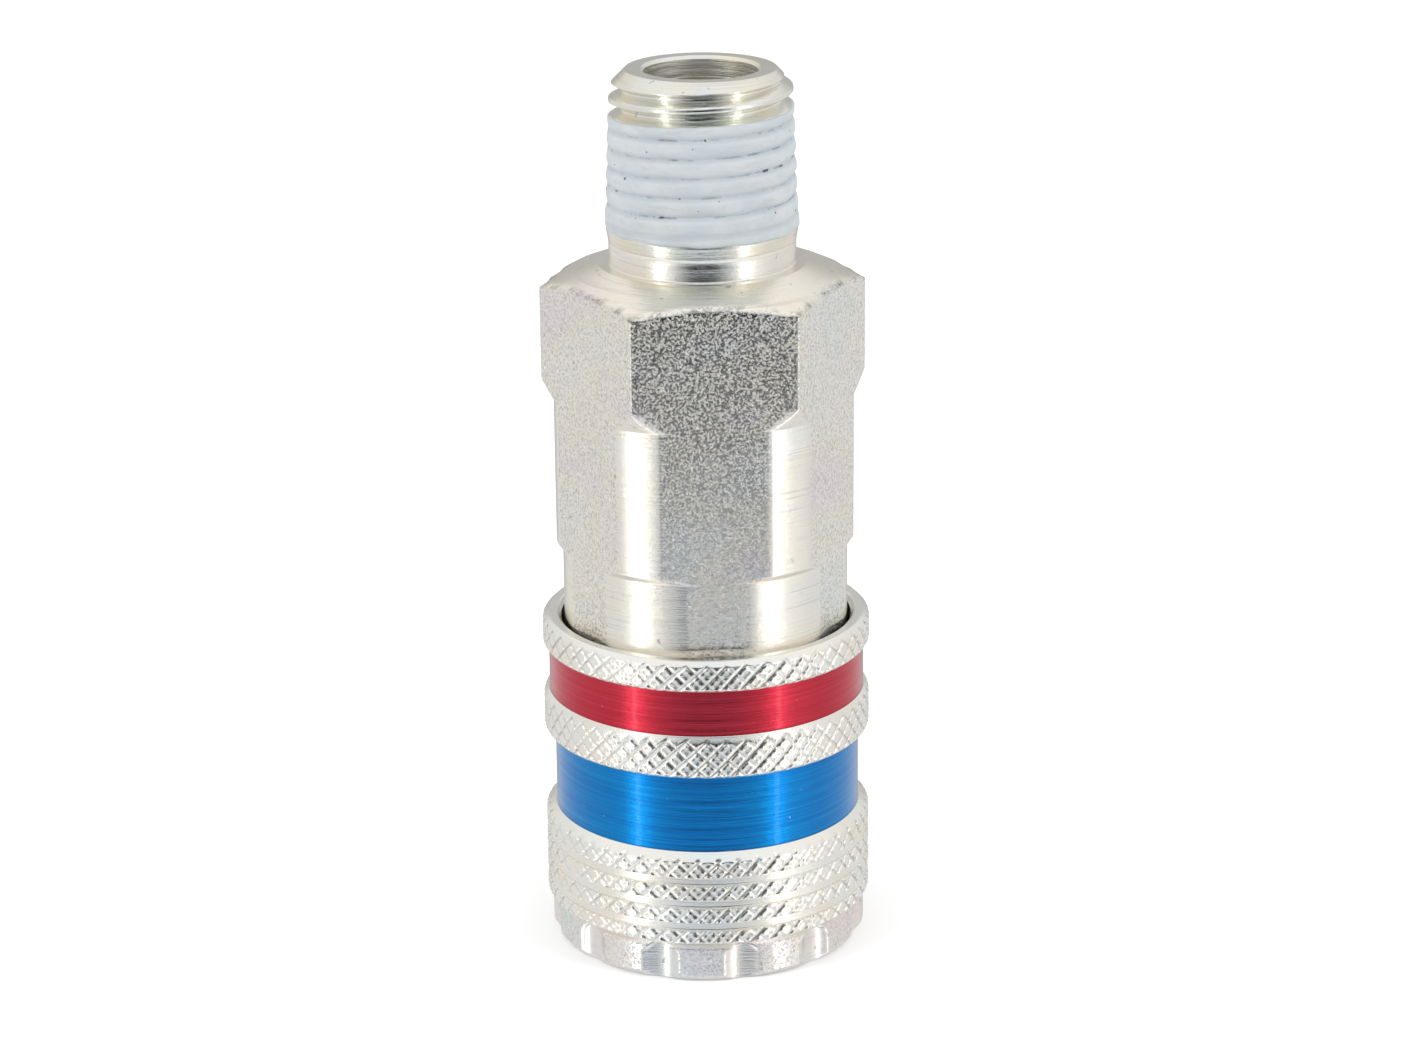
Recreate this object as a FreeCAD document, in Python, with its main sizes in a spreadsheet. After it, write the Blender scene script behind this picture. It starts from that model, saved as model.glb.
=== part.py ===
"""Vented quick disconnect coupler for compressed air, with an R 1/4 male tail.

The coupler stands on its fluted nose, +Z runs along its axis and the origin is the centre of the
nose face. Lengths are in millimetres. The sheet Sizes holds the driving dimensions, and Places
holds the radii and heights worked out from them by expressions.

Two rows of balls hold the plug: the main row locks it, and the vent row catches it while the line
vents. The locking sleeve has one groove inside with a straight cone on each side of it. Pulling the
sleeve up lets the main balls out and presses the vent balls in.
"""

import FreeCAD, Part
import os
import re
import Sketcher

SIZES = {
    # socket that takes the plug
    "plug_bore": 12.0,
    "mouth_step": 0.25,
    "mouth_chamfer": 0.6,
    "plug_shoulder": 4.7,
    "plug_step": 1.9,
    "seal_land": 1.0,
    "seal_groove_width": 2.3,
    "seal_cord": 1.9,
    "seal_bite": 0.15,
    "seat_land": 1.0,
    "chamber_wall": 1.2,
    # fluted flange that the coupler stands on
    "flange_diameter": 22.9,
    "flange_height": 2.9,
    "flange_lower_chamfer": 0.35,
    "flange_upper_chamfer": 0.45,
    "flute_count": 12,
    "flute_cutter": 4.6,
    "flute_depth": 0.5,
    "flute_lip": 0.16,
    "flute_phase": 12.25,
    # ball cage, neck and joining thread of the front body
    "cage_wall": 0.8,
    "neck_step": 1.0,
    "joint_step": 0.35,
    "joint_length": 6.0,
    "thread_clearance": 0.03,
    # balls and their pockets
    "ball_diameter": 3.0,
    "pocket_clearance": 0.1,
    "lip_grip": 0.2,
    "lip_thickness": 0.25,
    "ball_play": 0.02,
    "ball_clearance": 0.05,
    "main_ball_count": 6,
    "vent_ball_count": 3,
    # locking sleeve
    "sleeve_travel": 4.0,
    "sleeve_seat_gap": 0.05,
    "sleeve_diameter": 23.7,
    "sleeve_length": 21.45,
    "sleeve_clearance": 0.23,
    "land_clearance": 0.1,
    "cone_margin": 0.728,
    "front_land": 0.3,
    "groove_flat": 0.5,
    "rim_chamfer": 0.25,
    "edge_chamfer": 0.2,
    # grip grooves and colour bands of the sleeve
    "grip_groove_count": 3,
    "grip_start": 1.1,
    "grip_pitch": 1.73,
    "grip_groove": 0.55,
    "grip_depth": 0.4,
    "grip_slope": 0.14,
    "band_slope": 0.55,
    "blue_diameter": 22.1,
    "blue_start": 6.95,
    "blue_width": 5.75,
    "red_diameter": 22.8,
    "red_start": 15.85,
    "red_width": 3.3,
    "lacquer_film": 0.08,
    # sleeve spring and its washer
    "return_wire": 0.9,
    "return_turns": 5.0,
    "washer_height": 0.6,
    "washer_clearance": 0.12,
    "seat_clearance": 0.05,
    # rear body
    "hex_flats": 20.0,
    "hex_phase": 4.5,
    "skirt_diameter": 20.44,
    "skirt_bore": 16.9,
    "skirt_gap": 2.2,
    "spring_pocket": 5.1,
    "collar_diameter": 21.34,
    "collar_bottom": 29.5,
    "collar_chamfer": 0.45,
    "hex_bottom": 40.5,
    "hex_relief": 1.5,
    "shank_bottom": 50.25,
    "hex_cone_foot": 14.8,
    "hex_cone_drop": 1.65,
    "shank_diameter": 13.2,
    "total_length": 63.95,
    "inlet_bore": 8.0,
    "inlet_chamfer": 0.2,
    "gasket_height": 1.0,
    "gasket_margin": 0.1,
    "gasket_seat": 0.9,
    "guide_shelf": 0.6,
    "plenum_height": 2.5,
    # R 1/4 taper thread and the dried sealant on it
    "thread_pitch": 1.337,
    "thread_depth": 0.856,
    "thread_root_flat": 0.16,
    "thread_flank": 0.5206,
    "thread_overcut": 0.15,
    "thread_tip": 12.782,
    "thread_bottom": 52.9,
    "thread_overrun": 0.6,
    "taper": 0.03125,
    "tip_chamfer": 1.15,
    "runout_bottom": 51.9,
    "sealant_bottom": 52.7,
    "sealant_top": 61.0,
    "sealant_film": 0.06,
    # valve
    "valve_travel": 4.0,
    "valve_spring_room": 9.1268,
    "nose_clearance": 0.5,
    "nose_wall": 1.0,
    "nose_gap": 0.1,
    "valve_cord": 1.1,
    "valve_seal_gap": 0.03,
    "lip_clearance": 0.2,
    "lip_height": 0.4,
    "head_overlap": 0.8,
    "head_height": 2.0,
    "stem_diameter": 4.0,
    "stem_overlap": 2.0,
    "window_count": 4,
    "window_diameter": 2.0,
    "window_web": 0.35,
    "window_drop": 0.3,
    "valve_wire": 0.7,
    "valve_spring_diameter": 6.8,
    "valve_turns": 7.0,
    "guide_height": 2.5,
    "guide_clearance": 0.05,
    "scallop_count": 4,
    "scallop_diameter": 4.8,
    "scallop_circle": 12.8,
}

# Radii and heights worked out from the sizes. An expression may use the names above it.
PLACES = {
    "plug_r": "plug_bore / 2",
    "mouth_r": "plug_r + mouth_step",
    "probe_r": "plug_r - plug_step",
    "flange_r": "flange_diameter / 2",
    "sleeve_r": "sleeve_diameter / 2",
    "skirt_r": "skirt_diameter / 2",
    "collar_r": "collar_diameter / 2",
    "inlet_r": "inlet_bore / 2",
    "ball_r": "ball_diameter / 2",
    "pocket_diameter": "ball_diameter + 2 * pocket_clearance",
    "ball_floor": "plug_r + lip_thickness",
    "lip_hole": "ball_diameter - lip_grip",
    "ball_in": "ball_floor + sqrt(ball_r ^ 2 - (lip_hole / 2) ^ 2) + ball_play",
    "ball_out": "plug_r + ball_clearance + ball_r",
    "cone_slope": "(ball_out - ball_in) / sleeve_travel",
    "cone_reach": "(ball_r + ball_clearance) * sqrt(1 + cone_slope ^ 2)",
    "groove_r": "ball_out + cone_reach",
    "cone_length": "sleeve_travel + cone_margin",
    "land_r": "groove_r - cone_length * cone_slope",
    "cage_r": "land_r - land_clearance",
    "neck_r": "cage_r - neck_step",
    "joint_r": "neck_r - joint_step",
    "chamber_r": "joint_r - chamber_wall",
    "rear_chamber_r": "joint_r - gasket_seat",
    "plenum_r": "rear_chamber_r - guide_shelf",
    "nose_r": "probe_r - nose_clearance",
    "nose_bore_r": "nose_r - nose_wall",
    "head_r": "probe_r + head_overlap",
    "sleeve_bottom": "flange_height + sleeve_seat_gap",
    "sleeve_top": "sleeve_bottom + sleeve_length",
    "sleeve_bore_r": "skirt_r + sleeve_clearance",
    "vent_cone_foot": "sleeve_bottom + front_land",
    "vent_height": "vent_cone_foot + cone_length",
    "main_cone_foot": "vent_height + groove_flat",
    "main_height": "main_cone_foot + sleeve_travel",
    "main_cone_top": "main_cone_foot + cone_length",
    "cage_top": "main_height + pocket_diameter / 2 + cage_wall",
    "shoulder": "cage_top + seat_clearance",
    "washer_bottom": "shoulder + seat_clearance",
    "washer_top": "washer_bottom + washer_height",
    "skirt_bottom": "washer_top + sleeve_travel + skirt_gap",
    "neck_top": "skirt_bottom + spring_pocket",
    "return_spring_r": "(skirt_bore / 2 + neck_r) / 2",
    "blue_r": "blue_diameter / 2",
    "blue_floor": "blue_r - lacquer_film",
    "blue_bottom": "sleeve_bottom + blue_start",
    "blue_top": "blue_bottom + blue_width",
    "red_r": "red_diameter / 2",
    "red_floor": "red_r - lacquer_film",
    "red_bottom": "sleeve_bottom + red_start",
    "red_top": "red_bottom + red_width",
    "mouth_top": "vent_height - pocket_diameter / 2 - cage_wall - mouth_step",
    "plug_depth": "main_height + plug_shoulder",
    "seal_bottom": "plug_depth + seal_land",
    "seal_top": "seal_bottom + seal_groove_width",
    "seal_ring_r": "probe_r - seal_bite + seal_cord / 2",
    "seal_groove_r": "seal_ring_r + seal_cord / 2 + seat_clearance",
    "seat_bottom": "seal_top + seat_land",
    "seat_top": "seat_bottom + chamber_r - probe_r",
    "front_top": "neck_top + joint_length",
    "gasket_top": "front_top + gasket_height",
    "joint_bore_r": "joint_r + thread_clearance",
    "hex_corner_r": "hex_flats / sqrt(3)",
    "tip_r": "thread_tip / 2",
    "thread_bottom_r": "tip_r + (total_length - thread_bottom) * taper",
    "sealant_bottom_r": "tip_r + (total_length - sealant_bottom) * taper",
    "sealant_top_r": "tip_r + (total_length - sealant_top) * taper",
    "tip_face_r": "tip_r - tip_chamfer * (1 - taper)",
    "nose_bottom": "plug_depth + nose_gap",
    "valve_seal_height": "seat_bottom + (valve_cord / 2 + valve_seal_gap) * sqrt(2)",
    "valve_groove_r": "probe_r - valve_cord / 2 - seat_clearance / 2",
    "valve_groove_bottom": "valve_seal_height - valve_cord / 2 - seat_clearance / 2",
    "head_bottom": "valve_seal_height + valve_cord / 2 + seat_clearance / 2",
    "head_top": "head_bottom + head_height",
    "guide_bottom": "head_top + valve_travel + valve_spring_room",
    "guide_seat": "guide_bottom + guide_height",
    "plenum_top": "guide_seat + plenum_height",
    "inlet_bottom": "plenum_top + plenum_r - inlet_r",
    "valve_lip_r": "probe_r - lip_clearance",
    "valve_lip_bottom": "valve_groove_bottom - lip_height",
    "nose_blind": "valve_lip_bottom - window_web",
    "stem_top": "guide_bottom + stem_overlap",
}


def refer(words):
    """Points the names in an expression at the sheet's cells and at the worked-out places."""

    def owner(match):
        name = match[0]
        if name in SIZES:
            return "Sizes." + name
        return "Places." + name if name in PLACES else name

    return re.sub(r"[a-z_]\w*", owner, words)


def make_sizes(doc):
    sheet = doc.addObject("Spreadsheet::Sheet", "Sizes")
    for row, (name, value) in enumerate(SIZES.items(), start=1):
        sheet.set(f"A{row}", name)
        sheet.set(f"B{row}", str(value))
        sheet.setAlias(f"B{row}", name)
    doc.recompute()


def make_places(doc):
    places = doc.addObject("App::VarSet", "Places")
    for name, words in PLACES.items():
        places.addProperty("App::PropertyFloat", name)
        places.setExpression(name, refer(words))
    doc.recompute()
    return places


def origin_feature(body, role):
    return next(feature for feature in body.Origin.OriginFeatures if feature.Role == role)


def new_body(doc, label):
    body = doc.addObject("PartDesign::Body", label)
    body.Label = label
    return body


def new_sketch(body, name, plane, offset=None):
    """A sketch on one of the body's origin planes, moved along its normal by offset."""
    sketch = body.newObject("Sketcher::SketchObject", f"{body.Name}_{name}_sketch")
    sketch.AttachmentSupport = [(origin_feature(body, plane), "")]
    sketch.MapMode = "FlatFace"
    if offset:
        sketch.setExpression("AttachmentOffset.Base.z", refer(offset))
    return sketch


def pin_point(sketch, edge, end, across, up):
    """Holds one end of an edge at the two given distances from the sketch's origin."""
    for kind, axis, words in (("DistanceX", -2, across), ("DistanceY", -1, up)):
        if words == "0":
            sketch.addConstraint(Sketcher.Constraint("PointOnObject", edge, end, axis))
            continue
        length = float(sketch.evalExpression(refer(words)))
        index = sketch.addConstraint(Sketcher.Constraint(kind, -1, 1, edge, end, length))
        sketch.setExpression(f"Constraints[{index}]", refer(words))


def draw_outline(sketch, points):
    """A closed outline of straight edges. Each point is a pair of expressions."""
    corners = [FreeCAD.Vector(*(float(sketch.evalExpression(refer(words))) for words in point), 0)
               for point in points]
    following = corners[1:] + corners[:1]
    sketch.addGeometry([Part.LineSegment(a, b) for a, b in zip(corners, following)], False)
    for edge in range(len(points)):
        sketch.addConstraint(Sketcher.Constraint("Coincident", edge, 2, (edge + 1) % len(points), 1))
    for edge, (across, up) in enumerate(points):
        pin_point(sketch, edge, 1, across, up)


def draw_circle(sketch, diameter, across, up):
    centre = FreeCAD.Vector(*(float(sketch.evalExpression(refer(words))) for words in (across, up)), 0)
    size = float(sketch.evalExpression(refer(diameter)))
    sketch.addGeometry(Part.Circle(centre, FreeCAD.Vector(0, 0, 1), size / 2), False)
    index = sketch.addConstraint(Sketcher.Constraint("Diameter", 0, size))
    sketch.setExpression(f"Constraints[{index}]", refer(diameter))
    pin_point(sketch, 0, 3, across, up)


def turned_body(doc, label, points):
    """A body turned about Z. Each point of its half section is a radius and a height."""
    body = new_body(doc, label)
    sketch = new_sketch(body, "section", "XZ_Plane")
    draw_outline(sketch, points)
    turning = body.newObject("PartDesign::Revolution", label + "_turning")
    turning.Profile = sketch
    turning.ReferenceAxis = (sketch, ["V_Axis"])
    turning.Angle = 360
    doc.recompute()
    return body


def cut_pattern(doc, body, name, plane, circle, depth, count, offset=None):
    """A round pocket along the normal of a plane, repeated about Z. Stops if it cuts nothing."""
    before = body.Shape.Volume
    sketch = new_sketch(body, name, plane, offset)
    draw_circle(sketch, *circle)
    pocket = body.newObject("PartDesign::Pocket", f"{body.Name}_{name}")
    pocket.Profile = sketch
    pocket.Reversed = True
    pocket.setExpression("Length", refer(depth))
    doc.recompute()
    pattern = body.newObject("PartDesign::PolarPattern", f"{body.Name}_{name}_pattern")
    pattern.Originals = [pocket]
    pattern.Axis = (origin_feature(body, "Z_Axis"), [""])
    pattern.Angle = 360
    pattern.setExpression("Occurrences", refer(count))
    body.Tip = pattern
    doc.recompute()
    if not body.Shape.Volume < before:
        raise ValueError(f"{name} cuts nothing from {body.Label}")


def coil_spring(doc, label, mean_radius, wire, bottom, top, turns):
    """A round-wire spring that fills the height from bottom to top."""
    body = new_body(doc, label)
    sketch = new_sketch(body, "wire", "XZ_Plane")
    draw_circle(sketch, wire, mean_radius, f"{bottom} + {wire} / 2")
    coil = body.newObject("PartDesign::AdditiveHelix", label + "_coil")
    coil.Profile = sketch
    coil.ReferenceAxis = (sketch, ["V_Axis"])
    coil.Mode = "height-turns-angle"
    coil.setExpression("Height", refer(f"{top} - {bottom} - {wire}"))
    coil.setExpression("Turns", refer(turns))
    doc.recompute()
    return body


def o_ring(doc, label, ring_radius, cord, height):
    ring = doc.addObject("Part::Torus", label)
    ring.Label = label
    ring.setExpression("Radius1", refer(ring_radius))
    ring.setExpression("Radius2", refer(f"{cord} / 2"))
    ring.setExpression("Placement.Base.z", refer(height))
    return ring


def front_body(doc):
    """Fluted flange, ball cage, neck, valve seat and the male half of the joining thread."""
    body = turned_body(doc, "front_body", [
        ("mouth_r + mouth_chamfer", "0"),
        ("flange_r - flange_lower_chamfer", "0"),
        ("flange_r", "flange_lower_chamfer"),
        ("flange_r", "flange_height - flange_upper_chamfer"),
        ("flange_r - flange_upper_chamfer", "flange_height"),
        ("cage_r", "flange_height"),
        ("cage_r", "cage_top"),
        ("neck_r", "cage_top"),
        ("neck_r", "neck_top"),
        ("joint_r", "neck_top"),
        ("joint_r", "front_top"),
        ("chamber_r", "front_top"),
        ("chamber_r", "seat_top"),
        ("probe_r", "seat_bottom"),
        ("probe_r", "seal_top"),
        ("seal_groove_r", "seal_top"),
        ("seal_groove_r", "seal_bottom"),
        ("probe_r", "seal_bottom"),
        ("probe_r", "plug_depth"),
        ("plug_r", "plug_depth"),
        ("plug_r", "mouth_top + mouth_step"),
        ("mouth_r", "mouth_top"),
        ("mouth_r", "mouth_chamfer"),
    ])
    flute_circle = "(flange_r - flute_depth + flute_cutter / 2)"
    cut_pattern(doc, body, "flute", "XY_Plane",
                ("flute_cutter", f"{flute_circle} * cos(flute_phase)", f"{flute_circle} * sin(flute_phase)"),
                "flange_height - flute_lip", "flute_count")
    rows = (("main", "XZ_Plane"), ("vent", "YZ_Plane"))
    for row, plane in rows:
        cut_pattern(doc, body, row + "_lip_hole", plane, ("lip_hole", "0", row + "_height"),
                    "cage_r", row + "_ball_count")
        cut_pattern(doc, body, row + "_pocket", plane, ("pocket_diameter", "0", row + "_height"),
                    "cage_r", row + "_ball_count", offset="ball_floor")
    return body


def rear_body(doc):
    """Hexagon bar turned down to collar and skirt, with the R 1/4 thread cut on its shank."""
    blank = turned_body(doc, "turned_blank", [
        ("skirt_bore / 2", "skirt_bottom"),
        ("skirt_r", "skirt_bottom"),
        ("skirt_r", "collar_bottom"),
        ("collar_r", "collar_bottom + collar_chamfer"),
        ("collar_r", "hex_bottom"),
        ("hex_corner_r", "hex_bottom + hex_relief"),
        ("hex_corner_r", "shank_bottom - hex_cone_drop"),
        ("hex_cone_foot / 2", "shank_bottom"),
        ("shank_diameter / 2", "shank_bottom"),
        ("shank_diameter / 2", "runout_bottom"),
        ("thread_bottom_r", "thread_bottom"),
        ("tip_face_r + tip_chamfer", "total_length - tip_chamfer"),
        ("tip_face_r", "total_length"),
        ("inlet_r + inlet_chamfer", "total_length"),
        ("inlet_r", "total_length - inlet_chamfer"),
        ("inlet_r", "inlet_bottom"),
        ("plenum_r", "plenum_top"),
        ("plenum_r", "guide_seat"),
        ("rear_chamber_r", "guide_seat"),
        ("rear_chamber_r", "gasket_top"),
        ("joint_bore_r", "gasket_top"),
        ("joint_bore_r", "neck_top"),
        ("skirt_bore / 2", "neck_top"),
    ])
    threaded = doc.addObject("Part::Cut", "threaded_blank")
    threaded.Base = blank
    threaded.Tool = thread_groove(doc)
    doc.recompute()
    if not threaded.Shape.Volume < blank.Shape.Volume - threaded.Tool.Shape.Volume / 2:
        raise ValueError("the thread is not cut")
    bar = doc.addObject("Part::Prism", "hexagon_bar")
    bar.Polygon = 6
    bar.setExpression("Circumradius", refer("hex_corner_r"))
    bar.setExpression("Height", refer("total_length"))
    body = doc.addObject("Part::Common", "rear_body")
    body.Label = "rear_body"
    body.Base = threaded
    body.Tool = bar
    body.Placement = FreeCAD.Placement(
        FreeCAD.Vector(), FreeCAD.Rotation(FreeCAD.Vector(0, 0, 1), SIZES["hex_phase"]))
    return body


def thread_groove(doc):
    """The 55 degree groove of the taper thread. It runs past the end of the shank."""
    section = doc.addObject("Sketcher::SketchObject", "thread_section")
    section.Placement = FreeCAD.Placement(
        FreeCAD.Vector(), FreeCAD.Rotation(FreeCAD.Vector(1, 0, 0), 90))
    root = "thread_bottom_r - thread_depth"
    outside = "thread_bottom_r + thread_overcut"
    half_flat = "thread_root_flat / 2"
    half_mouth = "(thread_root_flat / 2 + (thread_depth + thread_overcut) * thread_flank)"
    draw_outline(section, [
        (root, f"thread_bottom - {half_flat}"),
        (outside, f"thread_bottom - {half_mouth}"),
        (outside, f"thread_bottom + {half_mouth}"),
        (root, f"thread_bottom + {half_flat}"),
    ])
    helix = doc.addObject("Part::Helix", "thread_helix")
    helix.SegmentLength = 1
    helix.setExpression("Pitch", refer("thread_pitch"))
    helix.setExpression("Height", refer("total_length - thread_bottom + thread_overrun"))
    helix.setExpression("Radius", refer("thread_bottom_r"))
    helix.setExpression("Angle", refer("-atan(taper)"))
    helix.setExpression("Placement.Base.z", refer("thread_bottom"))
    doc.recompute()
    groove = doc.addObject("Part::Sweep", "thread_groove")
    groove.Sections = [section]
    groove.Spine = (helix, [f"Edge{turn + 1}" for turn in range(len(helix.Shape.Edges))])
    groove.Solid = True
    groove.Frenet = True
    return groove


def thread_sealant(doc, threaded):
    """Dried sealant that fills the thread and lies over its crests as a thin film."""
    blank = turned_body(doc, "sealant_blank", [
        ("sealant_bottom_r - thread_depth", "sealant_bottom"),
        ("sealant_bottom_r + sealant_film", "sealant_bottom"),
        ("sealant_top_r + sealant_film", "sealant_top"),
        ("sealant_top_r - thread_depth", "sealant_top"),
    ])
    sealant = doc.addObject("Part::Cut", "thread_sealant")
    sealant.Label = "thread_sealant"
    sealant.Base = blank
    sealant.Tool = threaded
    return sealant


def locking_sleeve(doc):
    """Knurled sleeve with two recessed bands outside, and two ball cones and a shoulder inside."""
    floor = "sleeve_r - grip_depth"
    outside = [("sleeve_r - edge_chamfer", "sleeve_bottom"), ("sleeve_r", "sleeve_bottom + edge_chamfer")]
    for turn in range(SIZES["grip_groove_count"]):
        foot = f"sleeve_bottom + grip_start + {turn} * grip_pitch"
        outside += [
            ("sleeve_r", foot),
            (floor, f"{foot} + grip_slope"),
            (floor, f"{foot} + grip_groove - grip_slope"),
            ("sleeve_r", f"{foot} + grip_groove"),
        ]
    for band in ("blue", "red"):
        outside += [
            ("sleeve_r", f"{band}_bottom - band_slope"),
            (f"{band}_floor", f"{band}_bottom"),
            (f"{band}_floor", f"{band}_top"),
            ("sleeve_r - edge_chamfer", f"{band}_top"),
            ("sleeve_r", f"{band}_top + edge_chamfer"),
        ]
    outside += [("sleeve_r", "sleeve_top - rim_chamfer"), ("sleeve_r - rim_chamfer", "sleeve_top")]
    inside = [
        ("sleeve_bore_r + rim_chamfer", "sleeve_top"),
        ("sleeve_bore_r", "sleeve_top - rim_chamfer"),
        ("sleeve_bore_r", "shoulder"),
        ("land_r", "shoulder"),
        ("land_r", "main_cone_top"),
        ("groove_r", "main_cone_foot"),
        ("groove_r", "vent_height"),
        ("land_r", "vent_cone_foot"),
        ("land_r", "sleeve_bottom"),
    ]
    return turned_body(doc, "locking_sleeve", outside + inside)


def colour_band(doc, colour):
    """Lacquer that fills one recessed band of the sleeve."""
    return turned_body(doc, colour + "_band", [
        (f"{colour}_floor", f"{colour}_bottom"),
        (f"{colour}_r", f"{colour}_bottom"),
        (f"{colour}_r", f"{colour}_top"),
        (f"{colour}_floor", f"{colour}_top"),
    ])


def flat_ring(doc, label, inner, outer, bottom, top):
    return turned_body(doc, label, [(inner, bottom), (outer, bottom), (outer, top), (inner, top)])


def valve_poppet(doc):
    """Hollow nose with side windows, a seal groove, a head and a guided stem."""
    body = turned_body(doc, "valve_poppet", [
        ("nose_bore_r", "nose_bottom"),
        ("nose_r", "nose_bottom"),
        ("nose_r", "valve_lip_bottom"),
        ("valve_lip_r", "valve_lip_bottom"),
        ("valve_lip_r", "valve_groove_bottom"),
        ("valve_groove_r", "valve_groove_bottom"),
        ("valve_groove_r", "head_bottom"),
        ("head_r", "head_bottom"),
        ("head_r", "head_top"),
        ("stem_diameter / 2", "head_top"),
        ("stem_diameter / 2", "stem_top"),
        ("0", "stem_top"),
        ("0", "nose_blind"),
        ("nose_bore_r", "nose_blind"),
    ])
    cut_pattern(doc, body, "window", "XZ_Plane",
                ("window_diameter", "0", "nose_blind - window_drop - window_diameter / 2"),
                "nose_r * 2", "window_count")
    return body


def valve_guide(doc):
    """Scalloped disc that guides the stem and holds the top of the valve spring."""
    body = flat_ring(doc, "valve_guide", "stem_diameter / 2 + guide_clearance",
                     "rear_chamber_r - guide_clearance", "guide_bottom", "guide_seat")
    cut_pattern(doc, body, "scallop", "XY_Plane", ("scallop_diameter", "scallop_circle / 2", "0"),
                "guide_height", "scallop_count", offset="guide_bottom")
    return body


def ball_row(doc, row, radius, first_angle):
    """One row of balls, each a piece of its own, spaced evenly about Z."""
    count = SIZES[row + "_ball_count"]
    balls = []
    for index in range(count):
        angle = first_angle + index * 360 / count
        ball = doc.addObject("Part::Sphere", f"{row}_ball_{index + 1}")
        ball.Label = ball.Name
        ball.setExpression("Radius", refer("ball_r"))
        ball.setExpression("Placement.Base.x", refer(f"{radius} * cos({angle})"))
        ball.setExpression("Placement.Base.y", refer(f"{radius} * sin({angle})"))
        ball.setExpression("Placement.Base.z", refer(row + "_height"))
        balls.append(ball)
    return balls


def make_coupler(doc):
    make_sizes(doc)
    make_places(doc)
    rear = rear_body(doc)
    pieces = [
        front_body(doc),
        rear,
        thread_sealant(doc, rear),
        flat_ring(doc, "body_gasket", "rear_chamber_r + gasket_margin", "joint_bore_r - gasket_margin",
                  "front_top", "gasket_top"),
        o_ring(doc, "plug_seal", "seal_ring_r", "seal_cord", "(seal_bottom + seal_top) / 2"),
        valve_poppet(doc),
        o_ring(doc, "valve_seal", "probe_r", "valve_cord", "valve_seal_height"),
        coil_spring(doc, "valve_spring", "valve_spring_diameter / 2", "valve_wire",
                    "head_top", "guide_bottom", "valve_turns"),
        valve_guide(doc),
        locking_sleeve(doc),
        colour_band(doc, "blue"),
        colour_band(doc, "red"),
        flat_ring(doc, "spring_washer", "neck_r + washer_clearance", "sleeve_bore_r - washer_clearance",
                  "washer_bottom", "washer_top"),
        coil_spring(doc, "sleeve_spring", "return_spring_r", "return_wire",
                    "washer_top", "neck_top", "return_turns"),
    ]
    pieces += ball_row(doc, "main", "ball_in", -90)
    pieces += ball_row(doc, "vent", "ball_out", 0)
    return pieces


def check(doc, pieces):
    """Stops if an object failed to rebuild, or if a piece is empty, invalid or not one solid."""
    for item in doc.Objects:
        if {"Invalid", "Error"} & set(item.State):
            raise ValueError(f"{item.Label} failed: {item.State}")
    for piece in pieces:
        if piece.Shape.isNull() or not piece.Shape.isValid() or len(piece.Shape.Solids) != 1:
            raise ValueError(f"{piece.Label} isn't one valid solid")


def export(pieces):
    """Writes each piece as a STEP file of its own, under its label."""
    os.makedirs("parts", exist_ok=True)
    for piece in pieces:
        piece.Shape.exportStep(f"parts/{piece.Label}.step")
        print(piece.Label, len(piece.Shape.Solids), round(piece.Shape.Volume, 2))


document = FreeCAD.newDocument("coupler")
coupler = make_coupler(document)
document.recompute()
check(document, coupler)
export(coupler)
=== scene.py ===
"""Looks of a vented quick disconnect coupler for compressed air.

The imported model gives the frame: what moves with what, and where each node lies. Each class below
is one sub-assembly. It holds its sizes in millimetres, builds its meshes and dresses them. A mesh
turned about the coupler's axis is a closed outline of radii and heights swept round, and a relief
function then cuts the knurl, thread, hexagon or flutes into it.
"""

import logging
import math
from dataclasses import dataclass, field
from enum import Enum
from typing import Callable

import bmesh
import bpy
import numpy as np
from mathutils import Matrix, Vector


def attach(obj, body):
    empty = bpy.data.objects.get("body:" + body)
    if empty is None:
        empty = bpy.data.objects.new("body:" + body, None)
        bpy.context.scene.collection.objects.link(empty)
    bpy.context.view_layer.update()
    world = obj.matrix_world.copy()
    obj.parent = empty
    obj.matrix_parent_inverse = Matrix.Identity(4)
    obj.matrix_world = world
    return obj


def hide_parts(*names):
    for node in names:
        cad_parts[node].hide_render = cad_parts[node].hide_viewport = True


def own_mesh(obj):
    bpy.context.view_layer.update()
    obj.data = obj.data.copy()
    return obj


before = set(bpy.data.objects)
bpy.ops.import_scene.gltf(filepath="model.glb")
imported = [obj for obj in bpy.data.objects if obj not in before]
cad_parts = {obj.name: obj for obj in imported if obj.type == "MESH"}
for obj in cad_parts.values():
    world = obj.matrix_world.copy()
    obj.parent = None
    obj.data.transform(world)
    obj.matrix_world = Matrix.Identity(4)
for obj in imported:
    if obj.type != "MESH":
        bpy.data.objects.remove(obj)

MM = 0.001
FULL_TURN = 2 * math.pi

# heights in millimetres where the front and rear bodies meet or where a spring rests
NECK_TOP = 26.88
WASHER_TOP = 15.58

Relief = Callable[[np.ndarray, np.ndarray, np.ndarray], np.ndarray]
Colour = tuple[float, float, float, float]

log = logging.getLogger("coupler")


# ---------------------------------------------------------------- outlines and meshes


@dataclass(frozen=True)
class Corner:
    """One corner of an outline, with the radius of its fillet. Lengths are in millimetres."""

    radius: float
    height: float
    fillet: float = 0.0


@dataclass(frozen=True)
class Band:
    """A stretch of the axis at one radius. Lengths are in millimetres."""

    radius: float
    low: float
    high: float


@dataclass(frozen=True)
class Coil:
    """A compression spring, by its mean radius, wire, two ends and open turns."""

    mean: float
    wire: float
    low: float
    high: float
    turns: float


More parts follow.
